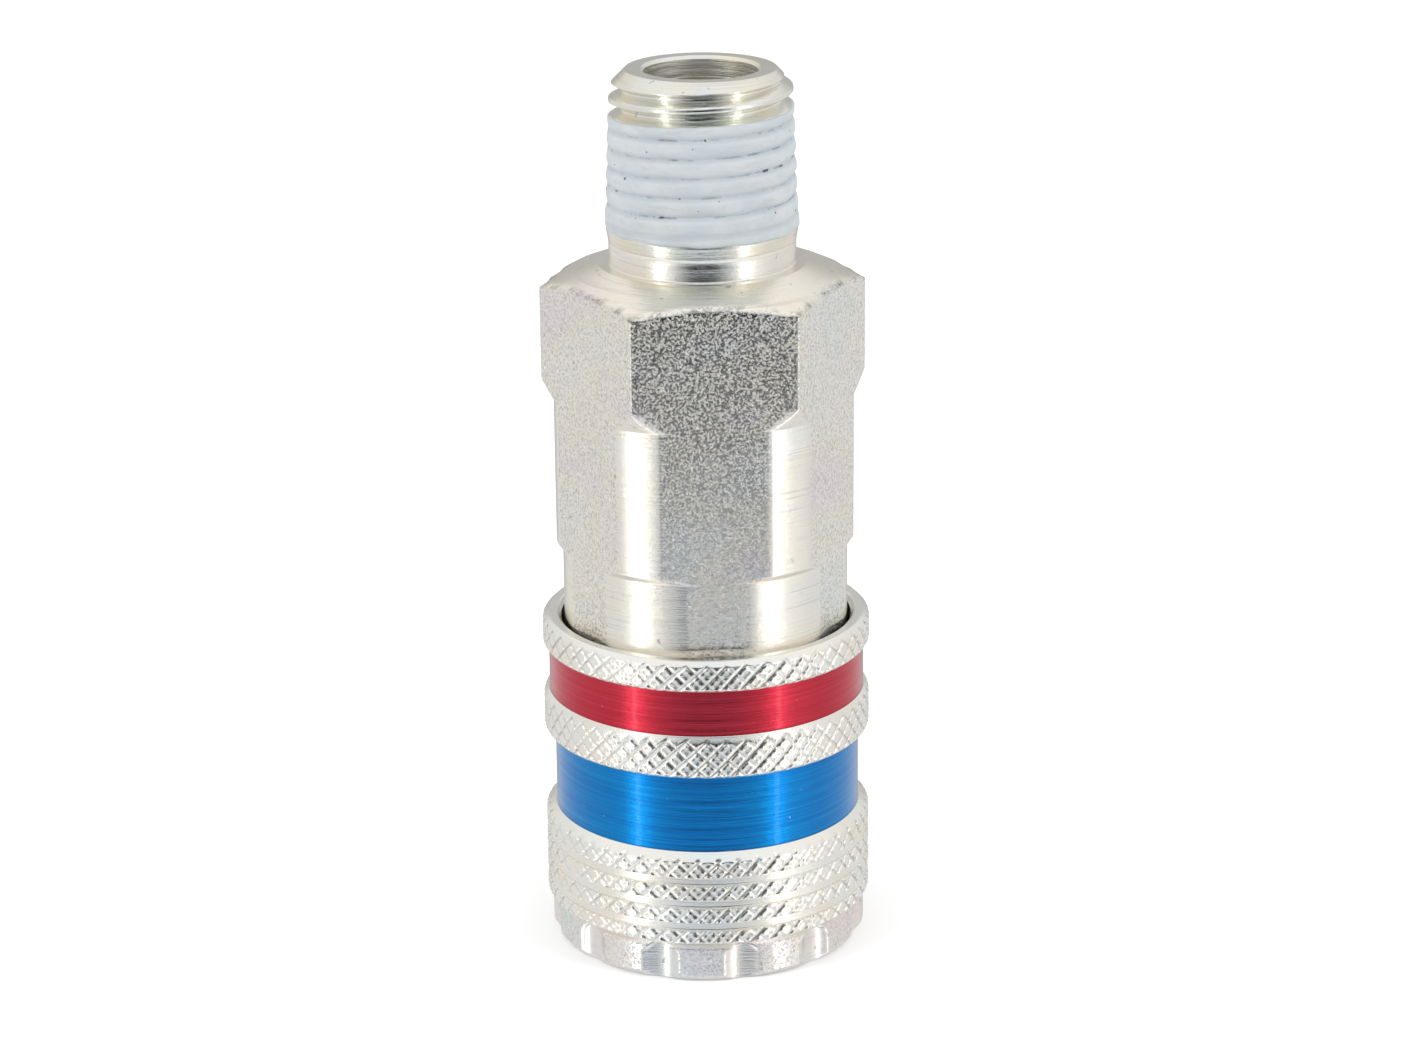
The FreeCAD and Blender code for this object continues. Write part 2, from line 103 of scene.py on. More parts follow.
def smooth_min(first: np.ndarray, second: np.ndarray, blend: float) -> np.ndarray:
    """Takes the smaller of two surfaces and rounds the crease between them.

    Args:
        first: Radii of one surface.
        second: Radii of the other surface.
        blend: Width of the rounded crease.

    Returns:
        The radii of the surface that is left.
    """
    share = np.clip(0.5 + 0.5 * (second - first) / blend, 0.0, 1.0)
    return second + (first - second) * share - blend * share * (1.0 - share)


def smooth_step(low: float, high: float, value: np.ndarray) -> np.ndarray:
    """Rises smoothly from 0 at low to 1 at high.

    Args:
        low: Where the rise starts.
        high: Where the rise ends.
        value: What is measured against the two.

    Returns:
        Shares from 0 to 1.
    """
    share = np.clip((value - low) / (high - low), 0.0, 1.0)
    return share * share * (3.0 - 2.0 * share)


def wrapped(angle: np.ndarray, period: float) -> np.ndarray:
    """Distance of each angle from the nearest whole number of periods, with its sign."""
    return (angle + period / 2) % period - period / 2


def ripple(angle: np.ndarray, height: np.ndarray, seed: int, coarse: float = 1.0) -> np.ndarray:
    """Smooth unevenness that closes on itself round the axis.

    Args:
        angle: Angles about the axis, in radians.
        height: Heights, in millimetres.
        seed: Picks one pattern.
        coarse: Size of the lumps, in millimetres.

    Returns:
        Values of about -1 to 1.
    """
    chance = np.random.default_rng(seed)
    total = np.zeros(np.broadcast(angle, height).shape)
    waves = 14
    for _ in range(waves):
        turns = int(chance.integers(1, 14))
        slope = chance.uniform(-2.2, 2.2) / coarse
        total += np.cos(turns * angle + slope * height + chance.uniform(0, FULL_TURN))
    return total / math.sqrt(waves)


def fillet_points(before: Vector, corner: Vector, after: Vector, radius: float) -> list[Vector]:
    """Rounds one corner of an outline.

    Args:
        before: The corner before it.
        corner: The corner itself.
        after: The corner after it.
        radius: Radius of the fillet.

    Returns:
        The points that stand for the corner, with one support point on each side.
    """
    arriving, leaving = corner - before, after - corner
    length_in, length_out = arriving.length, leaving.length
    arriving.normalize()
    leaving.normalize()
    turn = arriving.angle(leaving, 0.0)
    if radius <= 0 or turn < 0.03:
        return [corner]
    reach = min(radius * math.tan(turn / 2), 0.4 * length_in, 0.4 * length_out)
    start, end = corner - arriving * reach, corner + leaving * reach
    support = 0.5 * reach
    steps = 5
    arc = []
    for step in range(steps + 1):
        share = step / steps
        arc.append(start * (1 - share) ** 2 + corner * 2 * share * (1 - share) + end * share**2)
    return [start - arriving * support, *arc, end + leaving * support]


def trace(corners: list[Corner], step: Callable[[float, float], float]) -> np.ndarray:
    """Walks a closed outline and samples it.

    Args:
        corners: The outline, up the outside and down the inside.
        step: Longest allowed step, from a radius and a height.

    Returns:
        An array of radii and heights, one row for each sample.
    """
    places = [Vector((corner.radius, corner.height)) for corner in corners]
    rounded: list[Vector] = []
    for index, corner in enumerate(corners):
        following = places[(index + 1) % len(places)]
        rounded += fillet_points(places[index - 1], places[index], following, corner.fillet)
    samples = []
    for index, start in enumerate(rounded):
        end = rounded[(index + 1) % len(rounded)]
        middle = (start + end) / 2
        count = max(1, math.ceil((end - start).length / step(middle.x, middle.y)))
        samples += [start.lerp(end, share / count) for share in range(count)]
    return np.array([(point.x, point.y) for point in samples])


def even_angles(count: int) -> np.ndarray:
    """Angles spaced evenly round the axis."""
    return np.arange(count) * FULL_TURN / count


def make_object(name: str, points: np.ndarray, faces: np.ndarray) -> bpy.types.Object:
    """Makes a smooth-shaded mesh object from points in millimetres.

    Args:
        name: Name of the piece.
        points: One row of x, y, z for each vertex.
        faces: One row of four vertex numbers for each face.

    Returns:
        The new object, linked to the scene.
    """
    mesh = bpy.data.meshes.new(name)
    mesh.vertices.add(len(points))
    mesh.vertices.foreach_set("co", (points * MM).astype(np.float32).ravel())
    mesh.loops.add(faces.size)
    mesh.loops.foreach_set("vertex_index", faces.astype(np.int32).ravel())
    mesh.polygons.add(len(faces))
    mesh.polygons.foreach_set("loop_start", np.arange(len(faces), dtype=np.int32) * faces.shape[1])
    mesh.polygons.foreach_set("use_smooth", np.ones(len(faces), dtype=bool))
    mesh.update(calc_edges=True)
    mesh.validate()
    piece = bpy.data.objects.new(name, mesh)
    bpy.context.collection.objects.link(piece)
    return piece


def loop_faces(rows: int, columns: int) -> np.ndarray:
    """Quads of a grid that closes on itself both ways.

    Args:
        rows: Samples along the outline.
        columns: Samples round the axis.

    Returns:
        One row of four vertex numbers for each face.
    """
    row, column = np.meshgrid(np.arange(rows), np.arange(columns), indexing="ij")
    next_row, next_column = (row + 1) % rows, (column + 1) % columns
    corners = (
        row * columns + column,
        row * columns + next_column,
        next_row * columns + next_column,
        next_row * columns + column,
    )
    return np.stack(corners, axis=-1).reshape(-1, 4)


def turn_piece(
    name: str, outline: np.ndarray, angles: np.ndarray, relief: Relief | None = None
) -> bpy.types.Object:
    """Sweeps an outline round the axis and cuts a relief into it.

    Args:
        name: Name of the piece.
        outline: Radii and heights along the closed outline.
        angles: Angles round the axis.
        relief: Gives the radius left at each angle, radius and height.

    Returns:
        The new object.
    """
    angle, radius = np.meshgrid(angles, outline[:, 0])
    height = np.broadcast_to(outline[:, 1:2], radius.shape)
    if relief is not None:
        radius = relief(angle, radius, height)
    points = np.stack((radius * np.cos(angle), radius * np.sin(angle), height), axis=-1)
    return make_object(name, points.reshape(-1, 3), loop_faces(*radius.shape))


def store(piece: bpy.types.Object, name: str, values: np.ndarray) -> None:
    """Keeps one number for each vertex, which a finish can read.

    Args:
        piece: The object.
        name: Name of the attribute.
        values: One number for each vertex.
    """
    attribute = piece.data.attributes.new(name, "FLOAT", "POINT")
    attribute.data.foreach_set("value", values.astype(np.float32).ravel())


def coil_piece(name: str, coil: Coil) -> bpy.types.Object:
    """Winds a round wire into a compression spring with closed, ground end turns.

    Args:
        name: Name of the piece.
        coil: Its sizes.

    Returns:
        The new object.
    """
    closed, samples_per_turn, samples_round_wire = 0.8, 56, 14
    total = coil.turns + 2 * closed
    along = np.linspace(0.0, total, int(total * samples_per_turn))
    end_rise = coil.wire * closed
    rise = (coil.high - coil.low) - coil.wire - 2 * end_rise
    knots = np.array([0.0, closed, total - closed, total])
    climb = np.interp(along, knots, np.array([0.0, end_rise, end_rise + rise, 2 * end_rise + rise]))
    centre = coil.low + coil.wire / 2 + climb
    turn, section = np.meshgrid(along * FULL_TURN, even_angles(samples_round_wire), indexing="ij")
    radius = coil.mean + coil.wire / 2 * np.cos(section)
    ground = 0.12 * coil.wire
    height = centre[:, None] + coil.wire / 2 * np.sin(section)
    height = np.clip(height, coil.low + ground, coil.high - ground)
    points = np.stack((radius * np.cos(turn), radius * np.sin(turn), height), axis=-1).reshape(-1, 3)
    rows, columns = radius.shape
    faces = loop_faces(rows, columns)[: (rows - 1) * columns]
    piece = make_object(name, points, faces)
    shell = bmesh.new()
    shell.from_mesh(piece.data)
    bmesh.ops.holes_fill(shell, edges=[edge for edge in shell.edges if edge.is_boundary])
    bmesh.ops.recalc_face_normals(shell, faces=shell.faces)
    shell.to_mesh(piece.data)
    shell.free()
    return piece


def drill(
    piece: bpy.types.Object, radius: float, start: float, end: float, angle: float, height: float
) -> None:
    """Drills one radial hole into a piece.

    Args:
        piece: The object that is drilled.
        radius: Radius of the hole.
        start: Distance from the axis where the hole starts.
        end: Distance from the axis where the hole ends.
        angle: Direction of the hole about the axis, in radians.
        height: Height of the hole.
    """
    drill_bit = bmesh.new()
    width, depth = radius * MM, (end - start) * MM
    bmesh.ops.create_cone(
        drill_bit, cap_ends=True, segments=40, radius1=width, radius2=width, depth=depth
    )
    direction = Vector((math.cos(angle), math.sin(angle), 0.0))
    place = Matrix.Translation((direction * (start + end) / 2 + Vector((0, 0, height))) * MM)
    drill_bit.transform(place @ direction.to_track_quat("Z", "Y").to_matrix().to_4x4())
    mesh = bpy.data.meshes.new("drill_bit")
    drill_bit.to_mesh(mesh)
    drill_bit.free()
    cutter = bpy.data.objects.new("drill_bit", mesh)
    bpy.context.collection.objects.link(cutter)
    cut = piece.modifiers.new("drill", "BOOLEAN")
    cut.operation = "DIFFERENCE"
    cut.solver = "EXACT"
    cut.object = cutter
    depsgraph = bpy.context.evaluated_depsgraph_get()
    drilled = bpy.data.meshes.new_from_object(piece.evaluated_get(depsgraph))
    piece.modifiers.clear()
    piece.data = drilled
    bpy.data.objects.remove(cutter)


# ---------------------------------------------------------------- shader maths


class Signal:
    """A value, colour or vector on its way through a shader."""

    def __init__(self, shader: "Shader", socket: bpy.types.NodeSocket) -> None:
        """Wraps one output socket of a shader's node."""
        self.shader = shader
        self.socket = socket

    def _math(self, operation: str, first: object, second: object) -> "Signal":
        """Adds one Math node."""
        return self.shader.node("ShaderNodeMath", {"operation": operation}, {0: first, 1: second})

    def __add__(self, other: object) -> "Signal":
        """Adds a value."""
        return self._math("ADD", self, other)

    __radd__ = __add__

    def __sub__(self, other: object) -> "Signal":
        """Takes a value away."""
        return self._math("SUBTRACT", self, other)

    def __rsub__(self, other: object) -> "Signal":
        """Is taken away from a value."""
        return self._math("SUBTRACT", other, self)

    def __mul__(self, other: object) -> "Signal":
        """Multiplies by a value."""
        return self._math("MULTIPLY", self, other)

    __rmul__ = __mul__

    def between(self, low: float, high: float, out_low: float = 0.0, out_high: float = 1.0) -> "Signal":
        """Maps the stretch from low to high smoothly onto another one.

        Args:
            low: Where the stretch starts.
            high: Where the stretch ends.
            out_low: What low becomes.
            out_high: What high becomes.

        Returns:
            The mapped value.
        """
        settings = {"interpolation_type": "SMOOTHSTEP"}
        stretch = {"From Min": low, "From Max": high, "To Min": out_low, "To Max": out_high}
        return self.shader.node("ShaderNodeMapRange", settings, {"Value": self, **stretch})


class Shader:
    """The nodes of one material or world."""

    def __init__(self, owner: bpy.types.Material | bpy.types.World) -> None:
        """Empties the owner's node tree."""
        owner.use_nodes = True
        self.owner = owner
        self.tree = owner.node_tree
        self.tree.nodes.clear()

    def node(self, kind: str, settings: dict, inputs: dict, output: str | int = 0) -> Signal:
        """Adds one node.

        Args:
            kind: The node's type.
            settings: The node's own properties, and "stops" for a ramp, which are set first.
            inputs: Values or signals for its sockets, by name or number.
            output: The output that is wanted.

        Returns:
            That output.
        """
        made = self.tree.nodes.new(kind)
        for name, value in settings.items():
            if name == "stops":
                ramp = made.color_ramp
                for index, (position, colour) in enumerate(value):
                    stop = ramp.elements[index] if index < 2 else ramp.elements.new(position)
                    stop.position = position
                    stop.color = colour
            else:
                setattr(made, name, value)
        for name, value in inputs.items():
            if isinstance(value, Signal):
                self.tree.links.new(value.socket, made.inputs[name])
            else:
                made.inputs[name].default_value = value
        return Signal(self, made.outputs[output])

    def mix(self, share: "Signal | float", first: object, second: object) -> Signal:
        """Mixes two colours.

        Args:
            share: 0 for the first colour, 1 for the second.
            first: Colour or signal.
            second: Colour or signal.

        Returns:
            The mixed colour.
        """
        return self.node("ShaderNodeMix", {"data_type": "RGBA"}, {0: share, 6: first, 7: second}, 2)

    def end(self, kind: str, surface: Signal) -> None:
        """Joins a surface to an output node of that type."""
        made = self.tree.nodes.new(kind)
        self.tree.links.new(surface.socket, made.inputs["Surface"])


class SurfaceShader(Shader):
    """The finish of one material. Lengths are in millimetres."""

    def __init__(self, name: str) -> None:
        """Starts an empty node material of that name."""
        super().__init__(bpy.data.materials.new(name))
        place = self.node("ShaderNodeTexCoord", {}, {}, "Object")
        self.place = self.node(
            "ShaderNodeVectorMath", {"operation": "SCALE"}, {0: place, "Scale": 1 / MM}
        )

    def noise(
        self, lumps: float | tuple[float, float, float], detail: float = 3.0, roughness: float = 0.5
    ) -> Signal:
        """Noise over the piece.

        Args:
            lumps: Lumps for each millimetre, the same all ways or along X, Y and Z.
            detail: Octaves of finer noise.
            roughness: Strength of the finer noise.

        Returns:
            The noise, around 0.5.
        """
        scale = lumps if isinstance(lumps, tuple) else (lumps, lumps, lumps)
        where = self.node("ShaderNodeVectorMath", {"operation": "MULTIPLY"}, {0: self.place, 1: scale})
        inputs = {"Vector": where, "Scale": 1.0, "Detail": detail, "Roughness": roughness}
        return self.node("ShaderNodeTexNoise", {}, inputs, "Fac")

    def grain_tone(self, size: float) -> Signal:
        """A random tone for each grain.

        Args:
            size: Grain size in millimetres.

        Returns:
            One value from 0 to 1 for each grain.
        """
        colour = self.node("ShaderNodeTexVoronoi", {}, {"Vector": self.place, "Scale": 1 / size}, "Color")
        return self.node("ShaderNodeSeparateColor", {}, {0: colour}, 0)

    def stored(self, name: str) -> Signal:
        """A number that the mesh keeps for each vertex, or 0 where it keeps none."""
        return self.node("ShaderNodeAttribute", {"attribute_name": name}, {}, "Fac")

    def ramp(self, share: Signal, stops: list[tuple[float, Colour]]) -> Signal:
        """Looks a value up on a colour ramp."""
        return self.node("ShaderNodeValToRGB", {"stops": stops}, {0: share}, "Color")

    def bump(self, height: Signal, depth: float) -> Signal:
        """Turns a height into a normal.

        Args:
            height: The height.
            depth: What a height of 1 means, in millimetres.

        Returns:
            The normal.
        """
        inputs = {"Height": height, "Distance": depth * MM, "Strength": 1.0}
        return self.node("ShaderNodeBump", {}, inputs)

    def finish(self, **sockets: object) -> bpy.types.Material:
        """Ends the material in one Principled shader.

        Args:
            **sockets: Its sockets by name, with _ for a space.

        Returns:
            The finished material.
        """
        inputs = {name.replace("_", " "): value for name, value in sockets.items()}
        self.end("ShaderNodeOutputMaterial", self.node("ShaderNodeBsdfPrincipled", {}, inputs))
        return self.owner


class SkyShader(Shader):
    """Light that comes from all round, by direction."""

    def __init__(self, world: bpy.types.World) -> None:
        """Starts from the direction that a ray leaves in."""
        super().__init__(world)
        direction = self.node("ShaderNodeTexCoord", {}, {}, "Generated")
        self.right, self.back, self.up = (
            self.node("ShaderNodeSeparateXYZ", {}, {0: direction}, axis) for axis in range(3)
        )

    def bearing(self) -> Signal:
        """Degrees round from the camera's side, positive to the right."""
        turn = self.node("ShaderNodeMath", {"operation": "ARCTAN2"}, {0: self.right, 1: self.back * -1.0})
        return turn * math.degrees(1.0)


# ---------------------------------------------------------------- finishes


@dataclass(frozen=True)
class ZincPlate:
    """Bright zinc with a thin, faintly coloured passive film. Drawn flats are pitted and carry painted
    glints.
    """

    silver: Colour = (0.90, 0.878, 0.825, 1.0)
    straw: Colour = (0.91, 0.87, 0.775, 1.0)
    rose: Colour = (0.88, 0.82, 0.82, 1.0)
    mint: Colour = (0.83, 0.86, 0.83, 1.0)
    yellowed: Colour = (0.95, 0.89, 0.76, 1.0)
    shaded: Colour = (0.40, 0.42, 0.44, 1.0)
    bruise: Colour = (0.20, 0.20, 0.19, 1.0)
    glint_white: Colour = (0.98, 0.97, 0.96, 1.0)
    pit_size: float = 0.20
    turned_roughness: float = 0.14
    turned_pitting: float = 0.10

    def material(self, name: str) -> bpy.types.Material:
        """Makes the material under that name."""
        shader = SurfaceShader(name)
        film = shader.noise((0.10, 0.10, 0.16), 2.0)
        film_colour = shader.ramp(
            film, [(0.30, self.mint), (0.44, self.silver), (0.56, self.straw), (0.70, self.rose)]
        )
        film_colour = shader.mix(shader.stored("yellowed"), film_colour, self.yellowed)
        flat = shader.stored("flatness") * (1.0 - self.turned_pitting) + self.turned_pitting
        bored = shader.stored("bored")
        grain = shader.grain_tone(self.pit_size)
        pits = shader.noise(5.6, 3.0, 0.6)
        lines = shader.noise((0.10, 0.10, 9.0), 4.0, 0.6)
        fine = shader.noise((0.5, 0.5, 26.0), 2.0, 0.5)
        speckle = pits.between(0.50, 0.62) * flat
        # Painted glints: random spots on the drawn flats, to be lightened towards a near-white colour.
        glint = shader.noise(3.4, 2.0).between(0.62, 0.70) * flat
        tone = shader.mix(grain.between(0.6, 1.0, 0.0, 0.16) * flat, film_colour, self.shaded)
        speck = shader.noise(1.7, 2.0).between(0.70, 0.76)
        nick = shader.noise(1.3, 4.0, 0.7).between(0.42, 0.58) * shader.stored("edge")
        scored = lines.between(0.52, 0.70) * (1.0 - flat) * 0.16
        marked = shader.mix(speckle * 0.24 + scored + speck * 0.4 + nick * 0.75, tone, self.bruise)
        # Painted highlight: the glint spots are lightened towards the near-white glint colour, on top of
        # the real marks.
        worn = shader.mix(glint * 0.45, marked, self.glint_white)
        turned_height = (lines - 0.5) * 1.7 + (fine - 0.5) * 0.7
        pitted_height = pits.between(0.50, 0.70) * 2.2 + (grain - 0.5) * 1.4
        height = pitted_height * flat + turned_height * (1.0 - flat) * (bored * 2.0 + 1.0)
        roughness = lines * 0.12 + nick * 0.2 + bored * 0.16 - flat * 0.05 + self.turned_roughness
        return shader.finish(
            Base_Color=worn, Metallic=1.0, Roughness=roughness, Normal=shader.bump(height, 0.012)
        )


@dataclass(frozen=True)
class NickelKnurl:
    """Nickel plate over a rolled knurl and turned shoulders, with painted shade in the knurl's grooves."""

    nickel: Colour = (0.93, 0.925, 0.875, 1.0)
    warm: Colour = (0.94, 0.90, 0.82, 1.0)
    # the valley colour is painted shade for the knurl's grooves
    valley: Colour = (0.74, 0.74, 0.69, 1.0)

    def material(self, name: str) -> bpy.types.Material:
        """Makes the material under that name."""
        shader = SurfaceShader(name)
        tint = shader.mix(shader.noise((0.2, 0.2, 0.5), 2.0).between(0.4, 0.65), self.nickel, self.warm)
        depth = shader.stored("knurl_depth")
        # Painted shade: the deeper the knurl groove, the more the colour is darkened towards the valley
        # colour.
        colour = shader.mix(depth.between(0.35, 1.0, 0.0, 0.75), tint, self.valley)
        lines = shader.noise((0.12, 0.12, 11.0), 4.0, 0.6)
        crush = shader.noise(5.0, 3.0, 0.6)
        knurled = shader.stored("knurled")
        height = lines * (1.0 - knurled) + crush * knurled * 2.4
        roughness = 0.16 + lines * 0.12 + depth * 0.15
        return shader.finish(
            Base_Color=colour, Metallic=1.0, Roughness=roughness, Normal=shader.bump(height, 0.010)
        )


@dataclass(frozen=True)
class BandLacquer:
    """Transparent coloured lacquer over a finely turned recess."""

    deep: Colour
    light: Colour
    scuff: Colour

    def material(self, name: str) -> bpy.types.Material:
        """Makes the material under that name."""
        shader = SurfaceShader(name)
        lines = shader.noise((0.06, 0.06, 14.0), 4.0, 0.7)
        cloud = shader.noise((0.35, 0.35, 0.9), 3.0)
        colour = shader.mix(lines.between(0.35, 0.70) * 0.7 + cloud * 0.3, self.deep, self.light)
        speck = shader.noise(2.6, 3.0, 0.6).between(0.735, 0.76)
        scratch_field = shader.noise((0.5, 0.5, 7.0), 3.0, 0.6).between(0.715, 0.735)
        scratch = scratch_field * shader.noise(0.3, 1.0).between(0.52, 0.62)
        worn = shader.mix(speck * 0.7 + scratch * 0.4, colour, self.scuff)
        roughness = 0.13 + lines * 0.12 + speck * 0.3
        return shader.finish(
            Base_Color=worn, Metallic=1.0, Roughness=roughness, Normal=shader.bump(lines, 0.010),
            Coat_Weight=0.26, Coat_Roughness=0.05,
        )


@dataclass(frozen=True)
class DriedSealant:
    """Matt, slightly chalky sealant that has shrunk into the thread, with painted shade in its valleys and
    creases.
    """

    body: Colour = (0.455, 0.485, 0.50, 1.0)
    thin: Colour = (0.41, 0.45, 0.475, 1.0)
    # the sunk colour is painted shade for the valleys between the crests
    sunk: Colour = (0.31, 0.345, 0.37, 1.0)
    # the crease colour is painted shadow for the deepest valleys
    crease: Colour = (0.08, 0.13, 0.17, 1.0)
    rubbed: Colour = (0.42, 0.41, 0.38, 1.0)
    # near-black colour for random dark dots and for painted shadow dashes in the creases
    dark_dot_and_crease_shadow: Colour = (0.03, 0.035, 0.04, 1.0)

    def material(self, name: str) -> bpy.types.Material:
        """Makes the material under that name."""
        shader = SurfaceShader(name)
        cloud = shader.noise((0.5, 0.5, 0.8), 3.0)
        colour = shader.mix(cloud.between(0.35, 0.7), self.body, self.thin)
        crest = shader.stored("crest")
        # Painted shade: the valleys between the crests are darkened towards the sunk colour.
        colour = shader.mix(crest.between(0.0, 0.30, 0.40, 0.0), colour, self.sunk)
        rub = shader.noise((0.8, 0.8, 1.9), 5.0, 0.75).between(0.50, 0.62) * crest.between(0.35, 0.90)
        colour = shader.mix(rub * 0.6, colour, self.rubbed)
        # Painted shadow: a broken dark line along the deepest valleys.
        broken = shader.noise(0.45, 5.0, 0.75).between(0.47, 0.60)
        crease_shadow_line = shader.stored("crease") * broken
        colour = shader.mix(crease_shadow_line * 0.75, colour, self.crease)
        # Painted shadow: dark dashes along the creases, added to the random dark dots; both are coloured
        # near black and dent the bump.
        crease_shadow_dash = shader.noise(0.75, 2.0, 0.5).between(0.64, 0.66) * shader.stored("crease")
        hole = shader.noise(1.9, 2.0, 0.5).between(0.735, 0.755) + crease_shadow_dash
        colour = shader.mix(hole, colour, self.dark_dot_and_crease_shadow)
        skin = shader.noise(1.6, 5.0, 0.62)
        height = skin + shader.noise(9.0, 2.0) * 0.2 + rub * 0.15 - hole * 0.8
        return shader.finish(
            Base_Color=colour, Metallic=0.0, Roughness=0.42 + cloud * 0.3, Normal=shader.bump(height, 0.06)
        )


@dataclass(frozen=True)
class BareMetal:
    """Plain metal with fine drawing or turning lines."""

    light: Colour
    dark: Colour
    roughness: float
    line_depth: float = 0.006

    def material(self, name: str) -> bpy.types.Material:
        """Makes the material under that name."""
        shader = SurfaceShader(name)
        cloud = shader.noise(0.6, 3.0)
        lines = shader.noise((0.15, 0.15, 9.0), 4.0, 0.6)
        colour = shader.mix(cloud.between(0.4, 0.7), self.light, self.dark)
        return shader.finish(
            Base_Color=colour, Metallic=1.0, Roughness=self.roughness + lines * 0.12,
            Normal=shader.bump(lines, self.line_depth),
        )


@dataclass(frozen=True)
class Rubber:
    """Moulded nitrile rubber with a slight bloom."""

    black: Colour = (0.018, 0.018, 0.020, 1.0)
    bloom: Colour = (0.055, 0.055, 0.06, 1.0)

    def material(self, name: str) -> bpy.types.Material:
        """Makes the material under that name."""
        shader = SurfaceShader(name)
        cloud = shader.noise(0.8, 4.0, 0.6)
        colour = shader.mix(cloud.between(0.4, 0.75), self.black, self.bloom)
        height = shader.noise(6.0, 3.0)
        return shader.finish(
            Base_Color=colour, Metallic=0.0, Roughness=0.5 + cloud * 0.2, Normal=shader.bump(height, 0.02)
        )


class Finish(Enum):
    """The finishes of the coupler, by the record's material slot."""

    ZINC = ("zinc_plated_steel", ZincPlate())
    TAIL_ZINC = (
        "zinc_plated_steel",
        ZincPlate(
            silver=(0.86, 0.845, 0.79, 1.0), straw=(0.88, 0.83, 0.68, 1.0), rose=(0.87, 0.80, 0.80, 1.0),
            mint=(0.80, 0.84, 0.74, 1.0), turned_roughness=0.07,
        ),
    )
    NOSE_ZINC = (
        "zinc_plated_steel",
        ZincPlate(
            silver=(0.87, 0.84, 0.83, 1.0), straw=(0.88, 0.84, 0.78, 1.0), rose=(0.90, 0.79, 0.83, 1.0),
            mint=(0.80, 0.86, 0.82, 1.0), turned_roughness=0.12,
        ),
    )
    NICKEL = ("nickel_plated_steel", NickelKnurl())
    RED = (
        "red_lacquer",
        BandLacquer(
            deep=(0.47, 0.018, 0.038, 1.0), light=(0.70, 0.045, 0.078, 1.0), scuff=(0.80, 0.60, 0.60, 1.0)
        ),
    )
    BLUE = (
        "blue_lacquer",
        BandLacquer(
            deep=(0.0005, 0.155, 0.57, 1.0), light=(0.001, 0.32, 0.70, 1.0), scuff=(0.50, 0.65, 0.80, 1.0)
        ),
    )
    SEALANT = ("thread_sealant", DriedSealant())
    RUBBER = ("black_rubber", Rubber())
    SPRING = ("spring_steel", BareMetal((0.52, 0.52, 0.53, 1.0), (0.38, 0.38, 0.40, 1.0), 0.24))
    BALL = ("ball_steel", BareMetal((0.78, 0.78, 0.80, 1.0), (0.70, 0.70, 0.72, 1.0), 0.06, 0.001))
    BRASS = ("brass", BareMetal((0.74, 0.54, 0.25, 1.0), (0.62, 0.42, 0.18, 1.0), 0.22))

    @property
    def slot(self) -> str:
        """The record's material slot."""
        return self.value[0]

    def material(self) -> bpy.types.Material:
        """The material of this finish, made once."""
        name = self.name.lower() + "_finish"
        return bpy.data.materials.get(name) or self.value[1].material(name)

    def dress(self, piece: bpy.types.Object) -> None:
        """Puts this finish on a piece of the builder's own."""
        piece.data.materials.clear()
        piece.data.materials.append(self.material())

    def dress_node(self, node: str) -> None:
        """Puts this finish on a CAD node that stays in view."""
        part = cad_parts[node]
        for slot in part.material_slots:
            slot.material = self.material()
        if not part.material_slots:
            part.data.materials.append(self.material())


def settle(piece: bpy.types.Object, body: str, finish: Finish, *nodes: str) -> None:
    """Dresses a piece, lets it ride on its body and hides the CAD nodes it stands for.

    Args:
        piece: The object.
        body: The CAD body that carries it.
        finish: Its finish.
        *nodes: The CAD nodes that it replaces.
    """
    finish.dress(piece)
    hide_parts(*nodes)
    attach(piece, body)
    log.info("%s: %d vertices on %s", piece.name, len(piece.data.vertices), body)


# ---------------------------------------------------------------- sub-assemblies


@dataclass(frozen=True)
class Knurl:
    """Rolled diamond knurl: crossed V grooves with the metal pushed up beside them."""

    teeth: int = 52
    rise: float = 1.42
    groove: float = 0.21
    light_groove: float = 0.17
    crown_dip: float = 0.06
    crown_edge: float = 0.17

    def wall(self, across: np.ndarray, depth: np.ndarray) -> np.ndarray:
        """Height of the surface at a distance from one groove.

        Args:
            across: Distance from the middle of the nearest groove, in tooth spaces.
            depth: Depth of that groove.

        Returns:
            The height below the crowns, at most 0.
        """
        away = np.abs(wrapped(across, 1.0))
        flank = -depth * (1.0 - away / self.crown_edge)
        dip = -self.crown_dip * smooth_step(self.crown_edge, 0.5, away)
        return np.where(away < self.crown_edge, flank, dip)

    def height(self, angle: np.ndarray, level: np.ndarray) -> np.ndarray:
        """Height of the knurl below its crowns at each angle and level."""
        around = angle * self.teeth / FULL_TURN + 0.05 * ripple(angle, level, 31, 1.5)
        along = level / self.rise
        pressed = 1.0 + 0.22 * ripple(angle, level, 32, 1.2)
        rising = self.wall(around - along, self.groove * pressed)
        falling = self.wall(around + along, self.light_groove * pressed)
        return smooth_min(rising, falling, 0.05)


